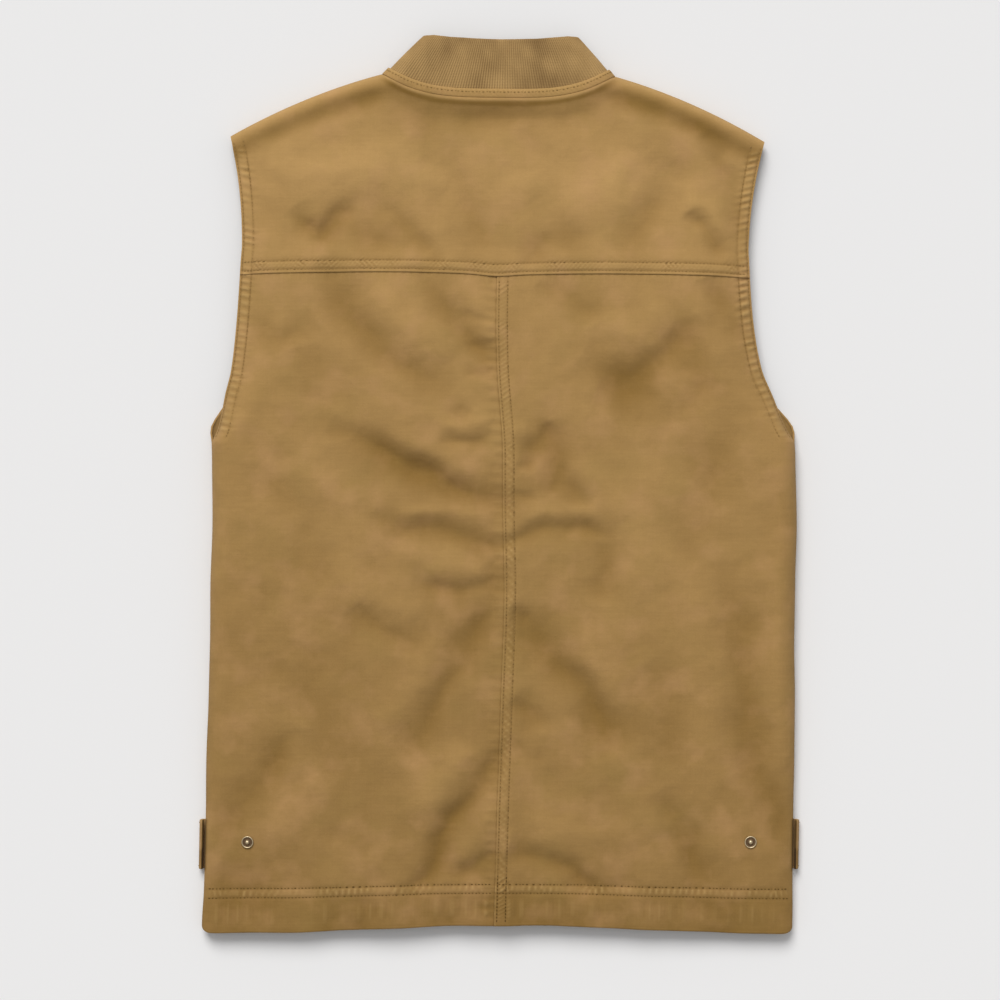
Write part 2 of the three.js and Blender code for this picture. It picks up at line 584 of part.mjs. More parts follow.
// A front panel, in rows that each run from the centre front or the neckline out to the side
function makeFrontPanel(side) {
  const span = TAB_WIDTH / 2 + TAB_EASE;
  const beside = [-span - SIDE_ROUND, -span, span, span + SIDE_ROUND].map((off) => TAB_HEIGHT + off);
  const bodyRows = [0, ...beside, ...evenly(beside.at(-1), UNDERARM_Y, FRONT_STEPS).slice(1)];
  const body = bodyRows.map((y) => ({ x: FRONT_OPENING / 2, y, outer: y }));
  const foldShare = 1 - SHOULDER_ROUND / ARMHOLE_HEIGHT;
  const neckShare = (FRONT_NECK_Y - UNDERARM_Y) / (NECK_POINT_Y - UNDERARM_Y);
  const chest = evenly(0, 1, ARMHOLE_STEPS).slice(1).map((share) => ({
    x: FRONT_OPENING / 2,
    y: lerp(UNDERARM_Y, FRONT_NECK_Y, share ** ARMHOLE_CROWDING),
    outer: UNDERARM_Y + ARMHOLE_HEIGHT * neckShare * share ** ARMHOLE_CROWDING,
  }));
  const neckPlaces = neck.slice(1, frontNeckTurns().length - 1).map((place) => place.base);
  const folds = roundStops(SHOULDER_ROUND);
  const collarSide = neckPlaces.map((base, i) => {
    const outer = i < FRONT_NECK_STEPS
      ? UNDERARM_Y + ARMHOLE_HEIGHT * lerp(neckShare, foldShare, (i + 1) / FRONT_NECK_STEPS)
      : SHOULDER_TIP_Y - folds[i - FRONT_NECK_STEPS + 1];
    return { x: Math.abs(base.x), y: base.y, outer };
  });
  const shoulder = { x: NECK_HALF_WIDTH, y: NECK_POINT_Y, outer: SHOULDER_TIP_Y, top: true };
  const rows = [...body, ...chest, ...collarSide, shoulder].map((row) => {
    const width = frontHalfWidth(row.outer);
    const [beyondTab, tabEnd] = [width - TAB_LENGTH - TAB_EASE - SIDE_ROUND, width - TAB_LENGTH - TAB_EASE];
    const insets = [SIDE_ROUND + TAB_LENGTH / TAB_STEPS, ...roundStops(SIDE_ROUND)];
    const edge = insets.map((inward) => width - inward);
    const columns = [...evenly(row.x, beyondTab, FRONT_COLUMNS), tabEnd, ...edge];
    const made = columns.map((x, k) => {
      const share = (x - row.x) / (width - row.x);
      const y = row.top ? shoulderLine(x) : lerp(row.y, row.outer, share);
      const place = k === 0 && neck.find((one) => {
        return one.base.x * side > 0 && Math.abs(one.base.y - y) < GAP / 4 && one.onBack === Boolean(row.top);
      });
      const tilt = x > width - GAP ? openness(y) : 1;
      const options = place ? { facing: place.facing } : { tilt: row.top ? 0 : tilt };
      return corner(side * x, y + hemShift(x, y), frontHeight(x, y), options);
    });
    return side < 0 ? made.reverse() : made;
  });
  return clothWall(rows, true);
}

function makeBand() {
  const rows = [NECK_EASE, BAND_HEIGHT].map((up) => neck.map((place) => {
    const at = onNeck(place, up, 0);
    return corner(at.x, at.y, at.z, { facing: place.facing });
  }));
  return clothWall(rows);
}

// The rib knit: its outer face has a ridge and a valley for each rib, its inner face is plain
function makeCollar() {
  const levels = [0, 0.5, 1];
  const at = (place, level, inward) => {
    return onNeck(place, lerp(NECK_EASE, place.base.distanceTo(place.top), level), CANVAS + GAP + inward);
  };
  const middle = neck.map((place) => at(place, 0.5, 0));
  const [columns, starts] = [[], []];
  middle.slice(0, -1).forEach((from, i) => {
    const ribs = Math.max(1, Math.round(from.distanceTo(middle[i + 1]) / RIB_PITCH));
    starts.push(columns.length);
    for (let half = 0; half < 2 * ribs; half += 1) {
      columns.push({ i, share: half / (2 * ribs), valley: half % 2 });
    }
  });
  starts.push(columns.length);
  columns.push({ i: neck.length - 2, share: 1, valley: 0 });
  const outer = levels.map((level) => columns.map(({ i, share, valley }) => {
    const inward = valley * RIB_RELIEF;
    return at(neck[i], level, inward).lerp(at(neck[i + 1], level, inward), share);
  }));
  const inner = levels.map((level) => neck.map((place) => at(place, level, KNIT)));
  const [wide, narrow, first] = [columns.length, neck.length, columns.length * levels.length];
  const out = (row, column) => row * wide + column;
  const back = (row, column) => first + row * narrow + column;
  const faces = [];
  for (let row = 0; row + 1 < levels.length; row += 1) {
    for (let c = 0; c + 1 < wide; c += 1) {
      faces.push([out(row, c), out(row, c + 1), out(row + 1, c + 1)]);
      faces.push([out(row, c), out(row + 1, c + 1), out(row + 1, c)]);
    }
    for (let c = 0; c + 1 < narrow; c += 1) {
      faces.push([back(row, c), back(row + 1, c + 1), back(row, c + 1)]);
      faces.push([back(row, c), back(row + 1, c), back(row + 1, c + 1)]);
    }
    const [near, far] = [wide - 1, narrow - 1];
    faces.push([out(row + 1, 0), back(row + 1, 0), back(row, 0)]);
    faces.push([out(row + 1, 0), back(row, 0), out(row, 0)]);
    faces.push([out(row, near), back(row, far), back(row + 1, far)]);
    faces.push([out(row, near), back(row + 1, far), out(row + 1, near)]);
  }
  const high = levels.length - 1;
  for (let c = 0; c + 1 < narrow; c += 1) {
    faces.push([out(0, starts[c]), back(0, c), back(0, c + 1)]);
    faces.push([out(high, starts[c + 1]), back(high, c + 1), back(high, c)]);
    for (let k = starts[c]; k < starts[c + 1]; k += 1) {
      faces.push([out(0, k), back(0, c + 1), out(0, k + 1)], [out(high, k + 1), back(high, c), out(high, k)]);
    }
  }
  return geometryOf([...outer.flat(), ...inner.flat()], faces);
}

// A tab runs from the side seam out in a soft fold and back in flat below the front panel
function makeTab(side) {
  const width = frontHalfWidth(TAB_HEIGHT);
  const middle = TAB_SINK * SIDE_SEAM_HEIGHT;
  const turns = evenly(degToRad(TAB_START), -Math.PI / 2, TAB_FOLD_STEPS);
  const fold = turns.map((turn) => {
    return { x: width + TAB_BULGE * Math.cos(turn), z: middle * (1 + Math.sin(turn)) };
  });
  const half = TAB_WIDTH / 2;
  const rows = [[-half, 1], [TAB_CORNER - half, 0], [half - TAB_CORNER, 0], [half, 1]].map(([off, short]) => {
    const end = width - TAB_LENGTH + short * TAB_CORNER;
    const path = [...fold, { x: width - TAB_LENGTH / 2, z: 0 }, { x: end, z: 0 }];
    const made = path.map(({ x, z }) => corner(side * x, TAB_HEIGHT + off, z, { wall: TAB_WALL }));
    return side < 0 ? made.reverse() : made;
  });
  return clothWall(rows);
}

// The zip: a tape behind the fronts' edges, with its teeth as one bar between them
function makeZip() {
  const [tape, teeth] = [ZIP_TAPE_WIDTH / 2, ZIP_TEETH_WIDTH / 2];
  const [face, under, over] = [GAP, CANVAS + GAP, CANVAS + GAP + ZIP_TAPE];
  const bar = [[-teeth, under], [-teeth, face], [teeth, face], [teeth, under]];
  const section = [[-tape, under], ...bar, [tape, under], [tape, over], [-tape, over]];
  const shape = new THREE.Shape(section.map(([x, z]) => new THREE.Vector2(x, z)));
  const start = HEM_RISE + ZIP_END_GAP;
  const depth = FRONT_NECK_Y - ZIP_END_GAP - start;
  const geometry = new THREE.ExtrudeGeometry(shape, { depth, steps: ZIP_STEPS, bevelEnabled: false });
  const places = geometry.attributes.position;
  for (let i = 0; i < places.count; i += 1) {
    const y = start + places.getZ(i);
    places.setXYZ(i, leanAt(y) - places.getX(i), y, places.getY(i));
  }
  return geometry;
}

const group = new THREE.Group();
function add(name, geometry, finish) {
  const mesh = new THREE.Mesh(geometry, new THREE.MeshStandardMaterial(finish));
  mesh.name = name;
  group.add(mesh);
}
const canvas = (color) => ({ color, roughness: 0.9, metalness: 0 });
const brass = { color: 0x8d8268, roughness: 0.38, metalness: 1 };

add("back_yoke", makeYoke(), canvas(0xae8e5e));
add("neck_band", makeBand(), canvas(0xa88a58));
add("collar", makeCollar(), canvas(0x9b7b4e));
for (const [word, side] of [["left", -1], ["right", 1]]) {
  add(`back_panel_${word}`, makeBackPanel(side), canvas(0x9f7d4d));
  add(`front_panel_${word}`, makeFrontPanel(side), canvas(0x9a784a));
  add(`side_tab_${word}`, makeTab(side), canvas(0xb0906a));
  add(`snap_stud_${word}`, makeStud(side), brass);
}
add("front_zip", makeZip(), { color: 0x7d6545, roughness: 0.6, metalness: 0.2 });

// The origin is the middle of the vest's footprint, on the surface that it lies on
const reach = new THREE.Box3().setFromObject(group);
const middleOfReach = reach.getCenter(new THREE.Vector3());
group.position.set(-middleOfReach.x, -middleOfReach.y, -reach.min.z);
export default group;
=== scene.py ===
"""Studio scene of a canvas work vest that lies face down on a pale floor, with its back up.

The vest is laid out in its own plan, in millimetres: X to the right of the back's centre line, Y up from the
hem, Z up from the floor. RowFrame.place puts plan points into the row frame, in metres.
"""

import logging
import math
from dataclasses import dataclass
from enum import Enum
from typing import Sequence

import bpy
import numpy as np
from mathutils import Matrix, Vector

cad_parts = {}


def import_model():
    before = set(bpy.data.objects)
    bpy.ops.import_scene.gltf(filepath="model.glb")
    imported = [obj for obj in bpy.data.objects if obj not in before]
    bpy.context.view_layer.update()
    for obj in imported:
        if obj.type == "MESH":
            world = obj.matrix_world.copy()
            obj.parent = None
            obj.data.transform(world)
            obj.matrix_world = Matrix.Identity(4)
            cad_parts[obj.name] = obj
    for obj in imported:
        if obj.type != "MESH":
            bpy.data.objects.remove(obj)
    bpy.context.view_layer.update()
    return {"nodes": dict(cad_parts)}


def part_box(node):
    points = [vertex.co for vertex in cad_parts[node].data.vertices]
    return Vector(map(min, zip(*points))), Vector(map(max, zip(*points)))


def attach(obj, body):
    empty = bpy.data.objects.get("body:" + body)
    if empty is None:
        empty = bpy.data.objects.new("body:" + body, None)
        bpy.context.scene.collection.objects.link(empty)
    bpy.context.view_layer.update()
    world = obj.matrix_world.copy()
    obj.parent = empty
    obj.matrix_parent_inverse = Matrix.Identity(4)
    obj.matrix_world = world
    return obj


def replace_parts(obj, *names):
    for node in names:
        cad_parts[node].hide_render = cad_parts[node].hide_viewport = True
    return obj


LOG = logging.getLogger("vest")
MM = 0.001
TURN = 2 * math.pi
Array = np.ndarray
Rows = Sequence[tuple[float, float]]
Colour = tuple[float, float, float]
Socket = bpy.types.NodeSocket
Layers = Sequence[tuple[Socket, float]]
Material = bpy.types.Material
Object = bpy.types.Object


class Side(Enum):
    """A half of the vest, as the back is seen."""

    LEFT = -1
    RIGHT = 1

    @property
    def word(self) -> str:
        """The word that ends the names of this half's pieces."""
        return self.name.lower()


class Layer(Enum):
    """The cloth layers of the back, from the lowest up."""

    LEFT_PANEL = 0
    RIGHT_PANEL = 1
    YOKE = 2


def lerp(start: Array | float, end: Array | float, share: Array | float) -> Array:
    """Value part of the way from start to end."""
    return start + (end - start) * share


def evenly(start: float, end: float, steps: int) -> Array:
    """Evenly spaced numbers, both ends included."""
    return np.linspace(start, end, steps + 1)


def ramp(at: Array | float, low: float, high: float) -> Array:
    """A smooth climb from 0 at low to 1 at high."""
    share = np.clip((np.asarray(at, float) - low) / (high - low), 0, 1)
    return share * share * (3 - 2 * share)


def bell(off: Array | float, wide: float) -> Array:
    """A bump of height 1 at 0 that has faded out about two widths away."""
    return np.exp(-((np.asarray(off, float) / wide) ** 2))


def rounded(inward: Array | float, power: Array | float = 0.5) -> Array:
    """A rounded fold: 0 at its edge, 1 from one radius in. A power of one half gives a quarter circle."""
    return (1 - (1 - np.clip(inward, 0, 1)) ** 2) ** power


def round_stops(radius: float, turns: int) -> Array:
    """Places in from a rounded edge, from one radius in out to the edge, that cut its turn evenly."""
    return radius * (1 - np.sin(evenly(0, math.pi / 2, turns)))


def unit(vectors: Array) -> Array:
    """Vectors at length 1."""
    return vectors / np.maximum(np.linalg.norm(vectors, axis=-1, keepdims=True), 1e-9)


def distances(line: Array) -> Array:
    """How far along a line each of its points lies."""
    return np.concatenate([[0], np.cumsum(np.linalg.norm(np.diff(line, axis=0), axis=1))])


def read_at(stops: Array, done: Array, values: Array) -> Array:
    """Columns of values, known at some distances, read at others."""
    return np.stack([np.interp(stops, done, column) for column in values.T], 1)


def through(rows: Rows, at: Array | float) -> Array:
    """Value of a smooth curve through a table.

    Args:
        rows: Place and value of each row, places rising.
        at: Places to read the curve at.

    Returns:
        The curve's value at each place.
    """
    place, value = np.asarray(rows, float).T
    slope = np.concatenate([
        [(value[1] - value[0]) / (place[1] - place[0])], (value[2:] - value[:-2]) / (place[2:] - place[:-2]),
        [(value[-1] - value[-2]) / (place[-1] - place[-2])],
    ])
    at = np.asarray(at, float)
    i = np.clip(np.searchsorted(place, at) - 1, 0, len(place) - 2)
    step, rise = place[i + 1] - place[i], value[i + 1] - value[i]
    t = np.clip((at - place[i]) / step, 0, 1)
    start, end = slope[i] * step, slope[i + 1] * step
    return value[i] + t * start + t * t * (3 * rise - 2 * start - end) + t**3 * (start + end - 2 * rise)


def crumple(x: Array, y: Array, size: float, seed: int) -> Array:
    """Soft seeded noise from -1 to 1.

    Args:
        x: Places across, in millimetres.
        y: Places along, in millimetres.
        size: Distance between the noise's own points.
        seed: Number that picks the pattern.

    Returns:
        The noise at each place.
    """
    lattice = np.random.default_rng(seed).uniform(-1, 1, (512, 512))
    u, v = np.asarray(x, float) / size + 200, np.asarray(y, float) / size + 50
    i, j = np.floor(u).astype(int), np.floor(v).astype(int)
    s, t = ramp(u - i, 0, 1), ramp(v - j, 0, 1)
    i, j = i % 511, j % 511
    return lerp(lerp(lattice[i, j], lattice[i + 1, j], s), lerp(lattice[i, j + 1], lattice[i + 1, j + 1], s), t)


def ripple(at: Array, pitch: float, wild: float, size: float, seed: int) -> Array:
    """A wave along a line, of a pitch that wanders."""
    return np.sin(TURN * at / pitch + wild * crumple(at, 0 * at, size, seed))


@dataclass(frozen=True)
class VestPlan:
    """Sizes and plain surfaces of the vest as it lies, in millimetres."""

    canvas: float = 1.6
    cloth: float = 0.9
    ply_gap: float = 0.15
    knit: float = 2.3
    gap: float = 0.35
    hem_half: float = 262.0
    chest_half: float = 259.5
    cross_half: float = 225.0
    shoulder_half: float = 237.5
    neck_half: float = 104.0
    back_length: float = 740.5
    neck_dip: float = 22.0
    shoulder_drop: float = 56.5
    shoulder_bow: float = 5.0
    shoulder_slant: float = 2.5
    armhole: float = 270.0
    yoke_depth: float = 155.5
    front_neck_drop: float = 94.0
    front_inset: float = 19.0
    front_opening: float = 10.0
    hem_depth: float = 34.0
    hem_wall: float = 1.7
    hem_rise: float = 7.5
    loft: float = 30.0
    side_seam: float = 9.0
    armhole_edge: float = 15.0
    crown_fall: float = 3.0
    side_round: float = 17.0
    armhole_round: float = 46.0
    shoulder_round: float = 15.0
    shoulder_turns: int = 12
    edge_slack: float = 0.02
    neck_lip: float = 2.2
    neck_lip_width: float = 7.0
    lap: float = 11.0
    lap_fade: float = 14.0
    tab_height: float = 78.5
    tab_width: float = 43.0
    tab_length: float = 62.0
    tab_wall: float = 2.2
    tab_ease: float = 2.0
    neck_point: float = back_length + neck_dip
    shoulder_tip: float = neck_point - shoulder_drop
    underarm: float = shoulder_tip - armhole
    yoke_seam: float = back_length - yoke_depth
    front_neck: float = neck_point - front_neck_drop
    back_curve: Rows = ((0.0, 1.0), (0.05, 0.8), (0.16, 0.52), (0.24, 0.31), (0.4, 0.13), (0.64, 0.0))
    front_curve: Rows = ((0.0, 1.0), (0.05, 1.0), (0.11, 0.8), (0.2, 0.45), (0.38, 0.1), (0.64, 0.0))
    loft_rows: Rows = ((0.0, 0.6), (0.1, 0.72), (0.35, 0.9), (0.68, 1.0), (0.88, 0.8), (1.0, 0.84), (1.08, 0.86))
    lean_rows: Rows = (
        (0.0, -0.01), (0.25, 0.004), (0.57, 0.015), (0.68, -0.014), (0.78, -0.02), (0.92, -0.012), (1.08, -0.002)
    )
    seam_rows: Rows = (
        (0.0, -0.012), (0.15, -0.008), (0.28, 0.0), (0.4, 0.006), (0.52, -0.003), (0.66, 0.003), (0.82, 0.011)
    )

    def half(self, y: Array | float, curve: Rows, inset: float) -> Array:
        """Half width of the back or the front.

        Args:
            y: Heights above the hem.
            curve: The armhole's edge, as how far up and how far out.
            inset: How much narrower the piece is across the chest.

        Returns:
            The half widths.
        """
        y = np.asarray(y, float)
        low = lerp(self.hem_half, self.chest_half, np.clip(y / self.underarm, 0, 1))
        narrow, narrowest = self.cross_half - inset, curve[-1][0]
        up = np.clip((y - self.underarm) / self.armhole, 0, 1)
        middle = narrow + (self.chest_half - narrow) * through(curve, np.minimum(up, narrowest))
        high = narrow + (self.shoulder_half - narrow) * np.clip((up - narrowest) / (1 - narrowest), 0, 1) ** 2
        return np.where(y <= self.underarm, low, np.where(up < narrowest, middle, high))

    def back_half(self, y: Array | float) -> Array:
        """Half width of the back."""
        return self.half(y, self.back_curve, 0)

    def front_half(self, y: Array | float) -> Array:
        """Half width of the front."""
        return self.half(y, self.front_curve, self.front_inset)

    def edge_slope(self, y: Array) -> Array:
        """How much the back's half width grows with the height."""
        return (self.back_half(y + 1) - self.back_half(y - 1)) / 2

    def shoulder_line(self, x: Array | float) -> Array:
        """Height of the shoulder's fold, which runs on straight inside the neck.

        Args:
            x: Places across.

        Returns:
            The heights.
        """
        out = (np.abs(x) - self.neck_half) / (self.shoulder_half - self.neck_half)
        bow = np.where((out > 0) & (out < 1), 4 * self.shoulder_bow * out * (1 - out), 0)
        return self.neck_point - self.shoulder_drop * out + bow

    def neckline(self, x: Array | float) -> Array:
        """Height of the back neckline."""
        return self.back_length + self.neck_dip * np.minimum(np.abs(x) / self.neck_half, 1) ** 3.4

    def hem_shift(self, x: Array | float, y: Array | float) -> Array:
        """How far the middle of the hem is drawn up."""
        rise = self.hem_rise * (1 - ramp(np.abs(x), 0, self.hem_half))
        return rise * np.maximum(0, 1 - np.asarray(y) / (3 * self.hem_depth))

    def openness(self, y: Array | float) -> Array:
        """How wide an armhole is open: 0 up to the underarm, 1 a quarter of the way up."""
        return ramp(y, self.underarm, self.underarm + self.armhole / 4)

    def rim_tilt(self, x: Array, y: Array, width: Array | float) -> Array:
        """How steeply a panel's wall may stand: level at a closed side seam, freely everywhere else."""
        return np.where(np.abs(x) > width - self.edge_slack, self.openness(y), 1.0)

    def shoulder_stops(self) -> Array:
        """Places below the shoulder's fold, from where the cloth starts to turn up to the fold."""
        return round_stops(self.shoulder_round, self.shoulder_turns)

    def lean(self, y: Array | float) -> Array:
        """How far the vest lies to one side."""
        return self.cross_half * through(self.lean_rows, np.asarray(y) / self.back_length)

    def slant(self, x: Array, y: Array) -> Array:
        """How much higher the left shoulder lies than the middle, and the right one lower."""
        return -self.shoulder_slant * x / self.shoulder_half * ramp(y, self.underarm, self.shoulder_tip)

    def seam(self, y: Array | float) -> Array:
        """Where the centre-back seam runs."""
        return self.cross_half * through(self.seam_rows, np.asarray(y) / self.back_length)

    def tab_push(self, x: Array, y: Array) -> Array:
        """How far the front is pushed up by the tab that lies below it.

        Args:
            x: Places across.
            y: Heights above the hem.

        Returns:
            The heights.
        """
        beside = np.abs(y - self.tab_height) - self.tab_width / 2 - self.tab_ease
        inside = self.front_half(y) - self.tab_length - self.tab_ease - np.abs(x)
        over = (1 - np.clip(beside / self.side_round, 0, 1)) * (1 - np.clip(inside / self.side_round, 0, 1))
        return (self.tab_wall + self.gap) * over

    def front_height(self, x: Array, y: Array) -> Array:
        """Height of the front's outer face, which is its lower one.

        Args:
            x: Places across.
            y: Heights above the hem.

        Returns:
            The heights.
        """
        seam = self.side_seam - self.gap / 2
        edge = seam * (1 - ramp(y, self.underarm, self.underarm + self.armhole / 6))
        across = lerp(edge, self.tab_push(x, y), rounded((self.front_half(y) - np.abs(x)) / self.side_round))
        return lerp(seam, across, rounded((self.shoulder_line(x) - y) / self.shoulder_round))

    def back_height(self, x: Array, y: Array, folds: Array | float = 0.0) -> Array:
        """Height of the back's outer face.

        Args:
            x: Places across.
            y: Heights above the hem.
            folds: What the folds add to the loft there.

        Returns:
            The heights, without laps.
        """
        opened = self.openness(y)
        inward = (self.back_half(y) - np.abs(x)) / lerp(self.side_round, self.armhole_round, opened)
        seam = self.side_seam + self.gap / 2
        crown = self.crown_fall * (x / self.chest_half) ** 2
        loft = self.loft * through(self.loft_rows, y / self.back_length) - crown + folds
        lip = self.neck_lip * bell(self.neckline(x) - y, self.neck_lip_width)
        lip = lip * (1 - ramp(np.abs(x), self.neck_half - 16, self.neck_half + 2))
        across = lerp(lerp(seam, self.armhole_edge, opened), loft, rounded(inward, lerp(0.5, 0.9, opened)))
        return lerp(seam, across + lip, rounded((self.shoulder_line(x) - y) / self.shoulder_round))


@dataclass(frozen=True)
class Fold:
    """A soft valley or ridge in the cloth, along a path in the photograph's pixels."""

    deep: float
    wide: float
    path: tuple[float, ...]

    def height(self, x: Array, y: Array) -> Array:
        """What the fold adds to the height.

        Args:
            x: Places across as seen, in the photograph's pixels.
            y: Places down as seen, in the photograph's pixels.

        Returns:
            The height, negative in a valley.
        """
        path = np.reshape(self.path, (-1, 2)).astype(float)
        done = distances(path)
        best, along = np.full(x.shape, 1e9), np.zeros(x.shape)
        for start, step, before, after in zip(path, np.diff(path, axis=0), done, done[1:]):
            right, down, length = x - start[0], y - start[1], after - before
            share = np.clip((right * step[0] + down * step[1]) / length**2, 0, 1)
            off = (right - share * step[0]) ** 2 + (down - share * step[1]) ** 2
            along = np.where(off < best, (before + share * length) / done[-1], along)
            best = np.minimum(best, off)
        taper = np.clip(5.5 * along * (1 - along), 0, 1) ** 0.8
        return -self.deep * taper * np.exp(-0.8 * (best / self.wide**2 + 0.03) ** 0.85)


# The folds of the back, as the photograph shows them: depth, width, then each point's X and Y. A negative depth
# is a ridge.
FOLDS = tuple(Fold(deep, wide, path) for deep, wide, *path in (
    (5.2, 12, 330, 422, 378, 446, 410, 467, 452, 486, 478, 497, 524, 514), (-2.4, 12, 390, 428, 440, 462, 486, 482),
    (4.4, 10, 370, 508, 404, 532, 452, 536, 516, 553), (-1.8, 7, 396, 512, 450, 513, 494, 519),
    (-2.0, 12, 390, 556, 450, 566, 492, 570), (1.4, 6, 480, 571, 502, 558), (3.6, 10, 410, 583, 455, 592, 516, 575),
    (3.6, 15, 352, 600, 384, 628, 428, 642), (-2.0, 17, 330, 566, 372, 596, 420, 612),
    (4.4, 14, 498, 594, 466, 644, 440, 694, 404, 756), (-2.0, 20, 452, 640, 420, 690, 380, 730),
    (5.0, 11, 516, 736, 480, 778, 458, 806, 442, 834, 430, 872, 404, 892), (-3.0, 17, 470, 744, 436, 776, 408, 826),
    (-1.8, 10, 500, 792, 474, 836, 456, 862), (3.0, 9, 500, 846, 470, 866, 446, 876),
    (4.4, 15, 324, 262, 346, 312, 384, 350, 452, 392), (-2.4, 15, 372, 288, 408, 330, 450, 362),
    (4.2, 12, 418, 262, 444, 312, 474, 344, 500, 366), (-1.6, 10, 470, 282, 488, 316, 498, 340),
    (3.2, 15, 246, 322, 284, 346, 322, 322), (2.2, 20, 300, 352, 322, 400, 330, 440), (1.6, 5, 460, 319, 498, 316),
    (1.6, 5, 464, 347, 499, 345), (1.6, 5, 460, 375, 499, 373), (1.3, 7, 454, 406, 470, 414),
    (2.2, 7, 434, 441, 496, 440), (-2.0, 7, 432, 422, 497, 424),
    (4.8, 16, 582, 350, 604, 366, 626, 378, 664, 354, 690, 310), (2.6, 18, 596, 392, 640, 404, 664, 376),
    (-2.4, 14, 600, 326, 640, 336, 668, 306), (3.0, 13, 690, 316, 692, 366, 700, 412),
    (3.2, 12, 706, 280, 724, 312, 742, 344), (2.8, 16, 540, 284, 576, 300, 596, 326),
    (2.8, 9, 548, 424, 536, 446, 520, 472), (4.0, 13, 546, 424, 556, 458, 562, 484, 594, 508),
    (-1.2, 8, 512, 436, 526, 432), (-1.8, 13, 566, 470, 606, 492, 622, 520), (1.4, 5, 512, 470, 534, 466),
    (1.4, 5, 511, 498, 540, 499), (3.9, 8, 484, 545, 544, 532, 620, 526), (-1.8, 8, 514, 518, 552, 514, 604, 512),
    (3.0, 14, 604, 528, 610, 566, 598, 604), (-1.6, 22, 640, 470, 650, 540, 640, 600),
    (6.2, 16, 506, 616, 552, 652, 588, 690, 610, 756), (-2.6, 17, 548, 624, 592, 664, 622, 710),
    (2.6, 11, 510, 694, 530, 712, 546, 734), (1.7, 6, 510, 752, 548, 757), (1.6, 7, 508, 606, 530, 622),
    (4.0, 10, 506, 848, 530, 857, 574, 866, 600, 884), (-2.2, 18, 520, 820, 580, 832, 640, 826),
    (2.0, 9, 560, 886, 640, 880), (3.8, 13, 662, 786, 684, 836, 706, 890), (-1.8, 14, 640, 786, 656, 840),
    (4.0, 17, 724, 560, 738, 660, 752, 760, 790, 846), (-1.4, 12, 770, 560, 778, 680, 786, 770),
    (-1.6, 22, 692, 560, 704, 680, 720, 790), (3.4, 15, 296, 726, 264, 776, 214, 838),
    (-1.6, 18, 330, 760, 296, 812, 252, 852), (2.6, 14, 214, 862, 238, 884, 274, 892),
    (1.8, 22, 250, 470, 300, 520, 336, 600), (-1.4, 22, 300, 450, 350, 500, 372, 560),
    (1.8, 24, 290, 640, 330, 720, 350, 800), (1.8, 20, 724, 430, 712, 500, 676, 560),
    (1.6, 20, 648, 660, 670, 720, 660, 770), (4.8, 10, 296, 208, 306, 224, 322, 238, 340, 214, 366, 206),
    (3.4, 12, 360, 206, 392, 214, 416, 238, 440, 268), (-3.0, 20, 282, 190, 320, 172, 390, 160, 440, 196),
    (2.8, 14, 420, 130, 444, 170, 470, 212, 496, 258), (-1.8, 22, 480, 140, 510, 168, 536, 200),
    (2.6, 11, 520, 262, 548, 242, 590, 236), (-2.4, 20, 560, 206, 606, 192, 634, 150),
    (3.6, 16, 616, 262, 636, 226, 664, 180, 690, 150), (3.6, 8, 684, 214, 704, 234, 728, 258),
    (-1.8, 9, 676, 200, 704, 208, 726, 236), (4.6, 11, 700, 130, 722, 176, 742, 240),
    (1.8, 12, 262, 150, 256, 190, 262, 236), (3.8, 17, 318, 236, 356, 234, 408, 256),
    (2.2, 22, 352, 436, 410, 468, 470, 492), (1.6, 20, 590, 384, 630, 394, 660, 380),
    (2.6, 13, 384, 106, 440, 122, 560, 122, 620, 106),
))


@dataclass(frozen=True)
class Topstitching:
    """Two rows of stitches beside an edge, and how the cloth puckers between them."""

    near: float
    far: float
    pitch: float
    deep: float
    slant: float
    seed: int

    def grooves(self, inward: Array, wide: float = 1.1) -> Array:
        """Where the rows are, from 0 to 1."""
        return bell(inward - self.near, wide) + bell(inward - self.far, wide)

    def relief(self, along: Array, inward: Array) -> Array:
        """Ripples between the rows, a groove along each row and a slight swell.

        Args:
            along: Places along the edge.
            inward: Places in from the edge.

        Returns:
            The height that the stitching adds.
        """
        wander = crumple(along, 0 * along, 27, self.seed) * 3.2
        wave = np.sin(TURN * (along + self.slant * inward) / self.pitch + wander)
        wave = wave * (0.7 + 0.8 * crumple(along, inward, 9, self.seed + 1))
        middle, half = (self.near + self.far) / 2, (self.far - self.near) / 2
        between = np.exp(-(((inward - middle) / (0.95 * half)) ** 4))
        beyond = 0.4 * bell(inward - self.far - 2.5, 3.2)
        return self.deep * (wave * (between + beyond) + 0.4 * between - 0.9 * self.grooves(inward, 0.9))


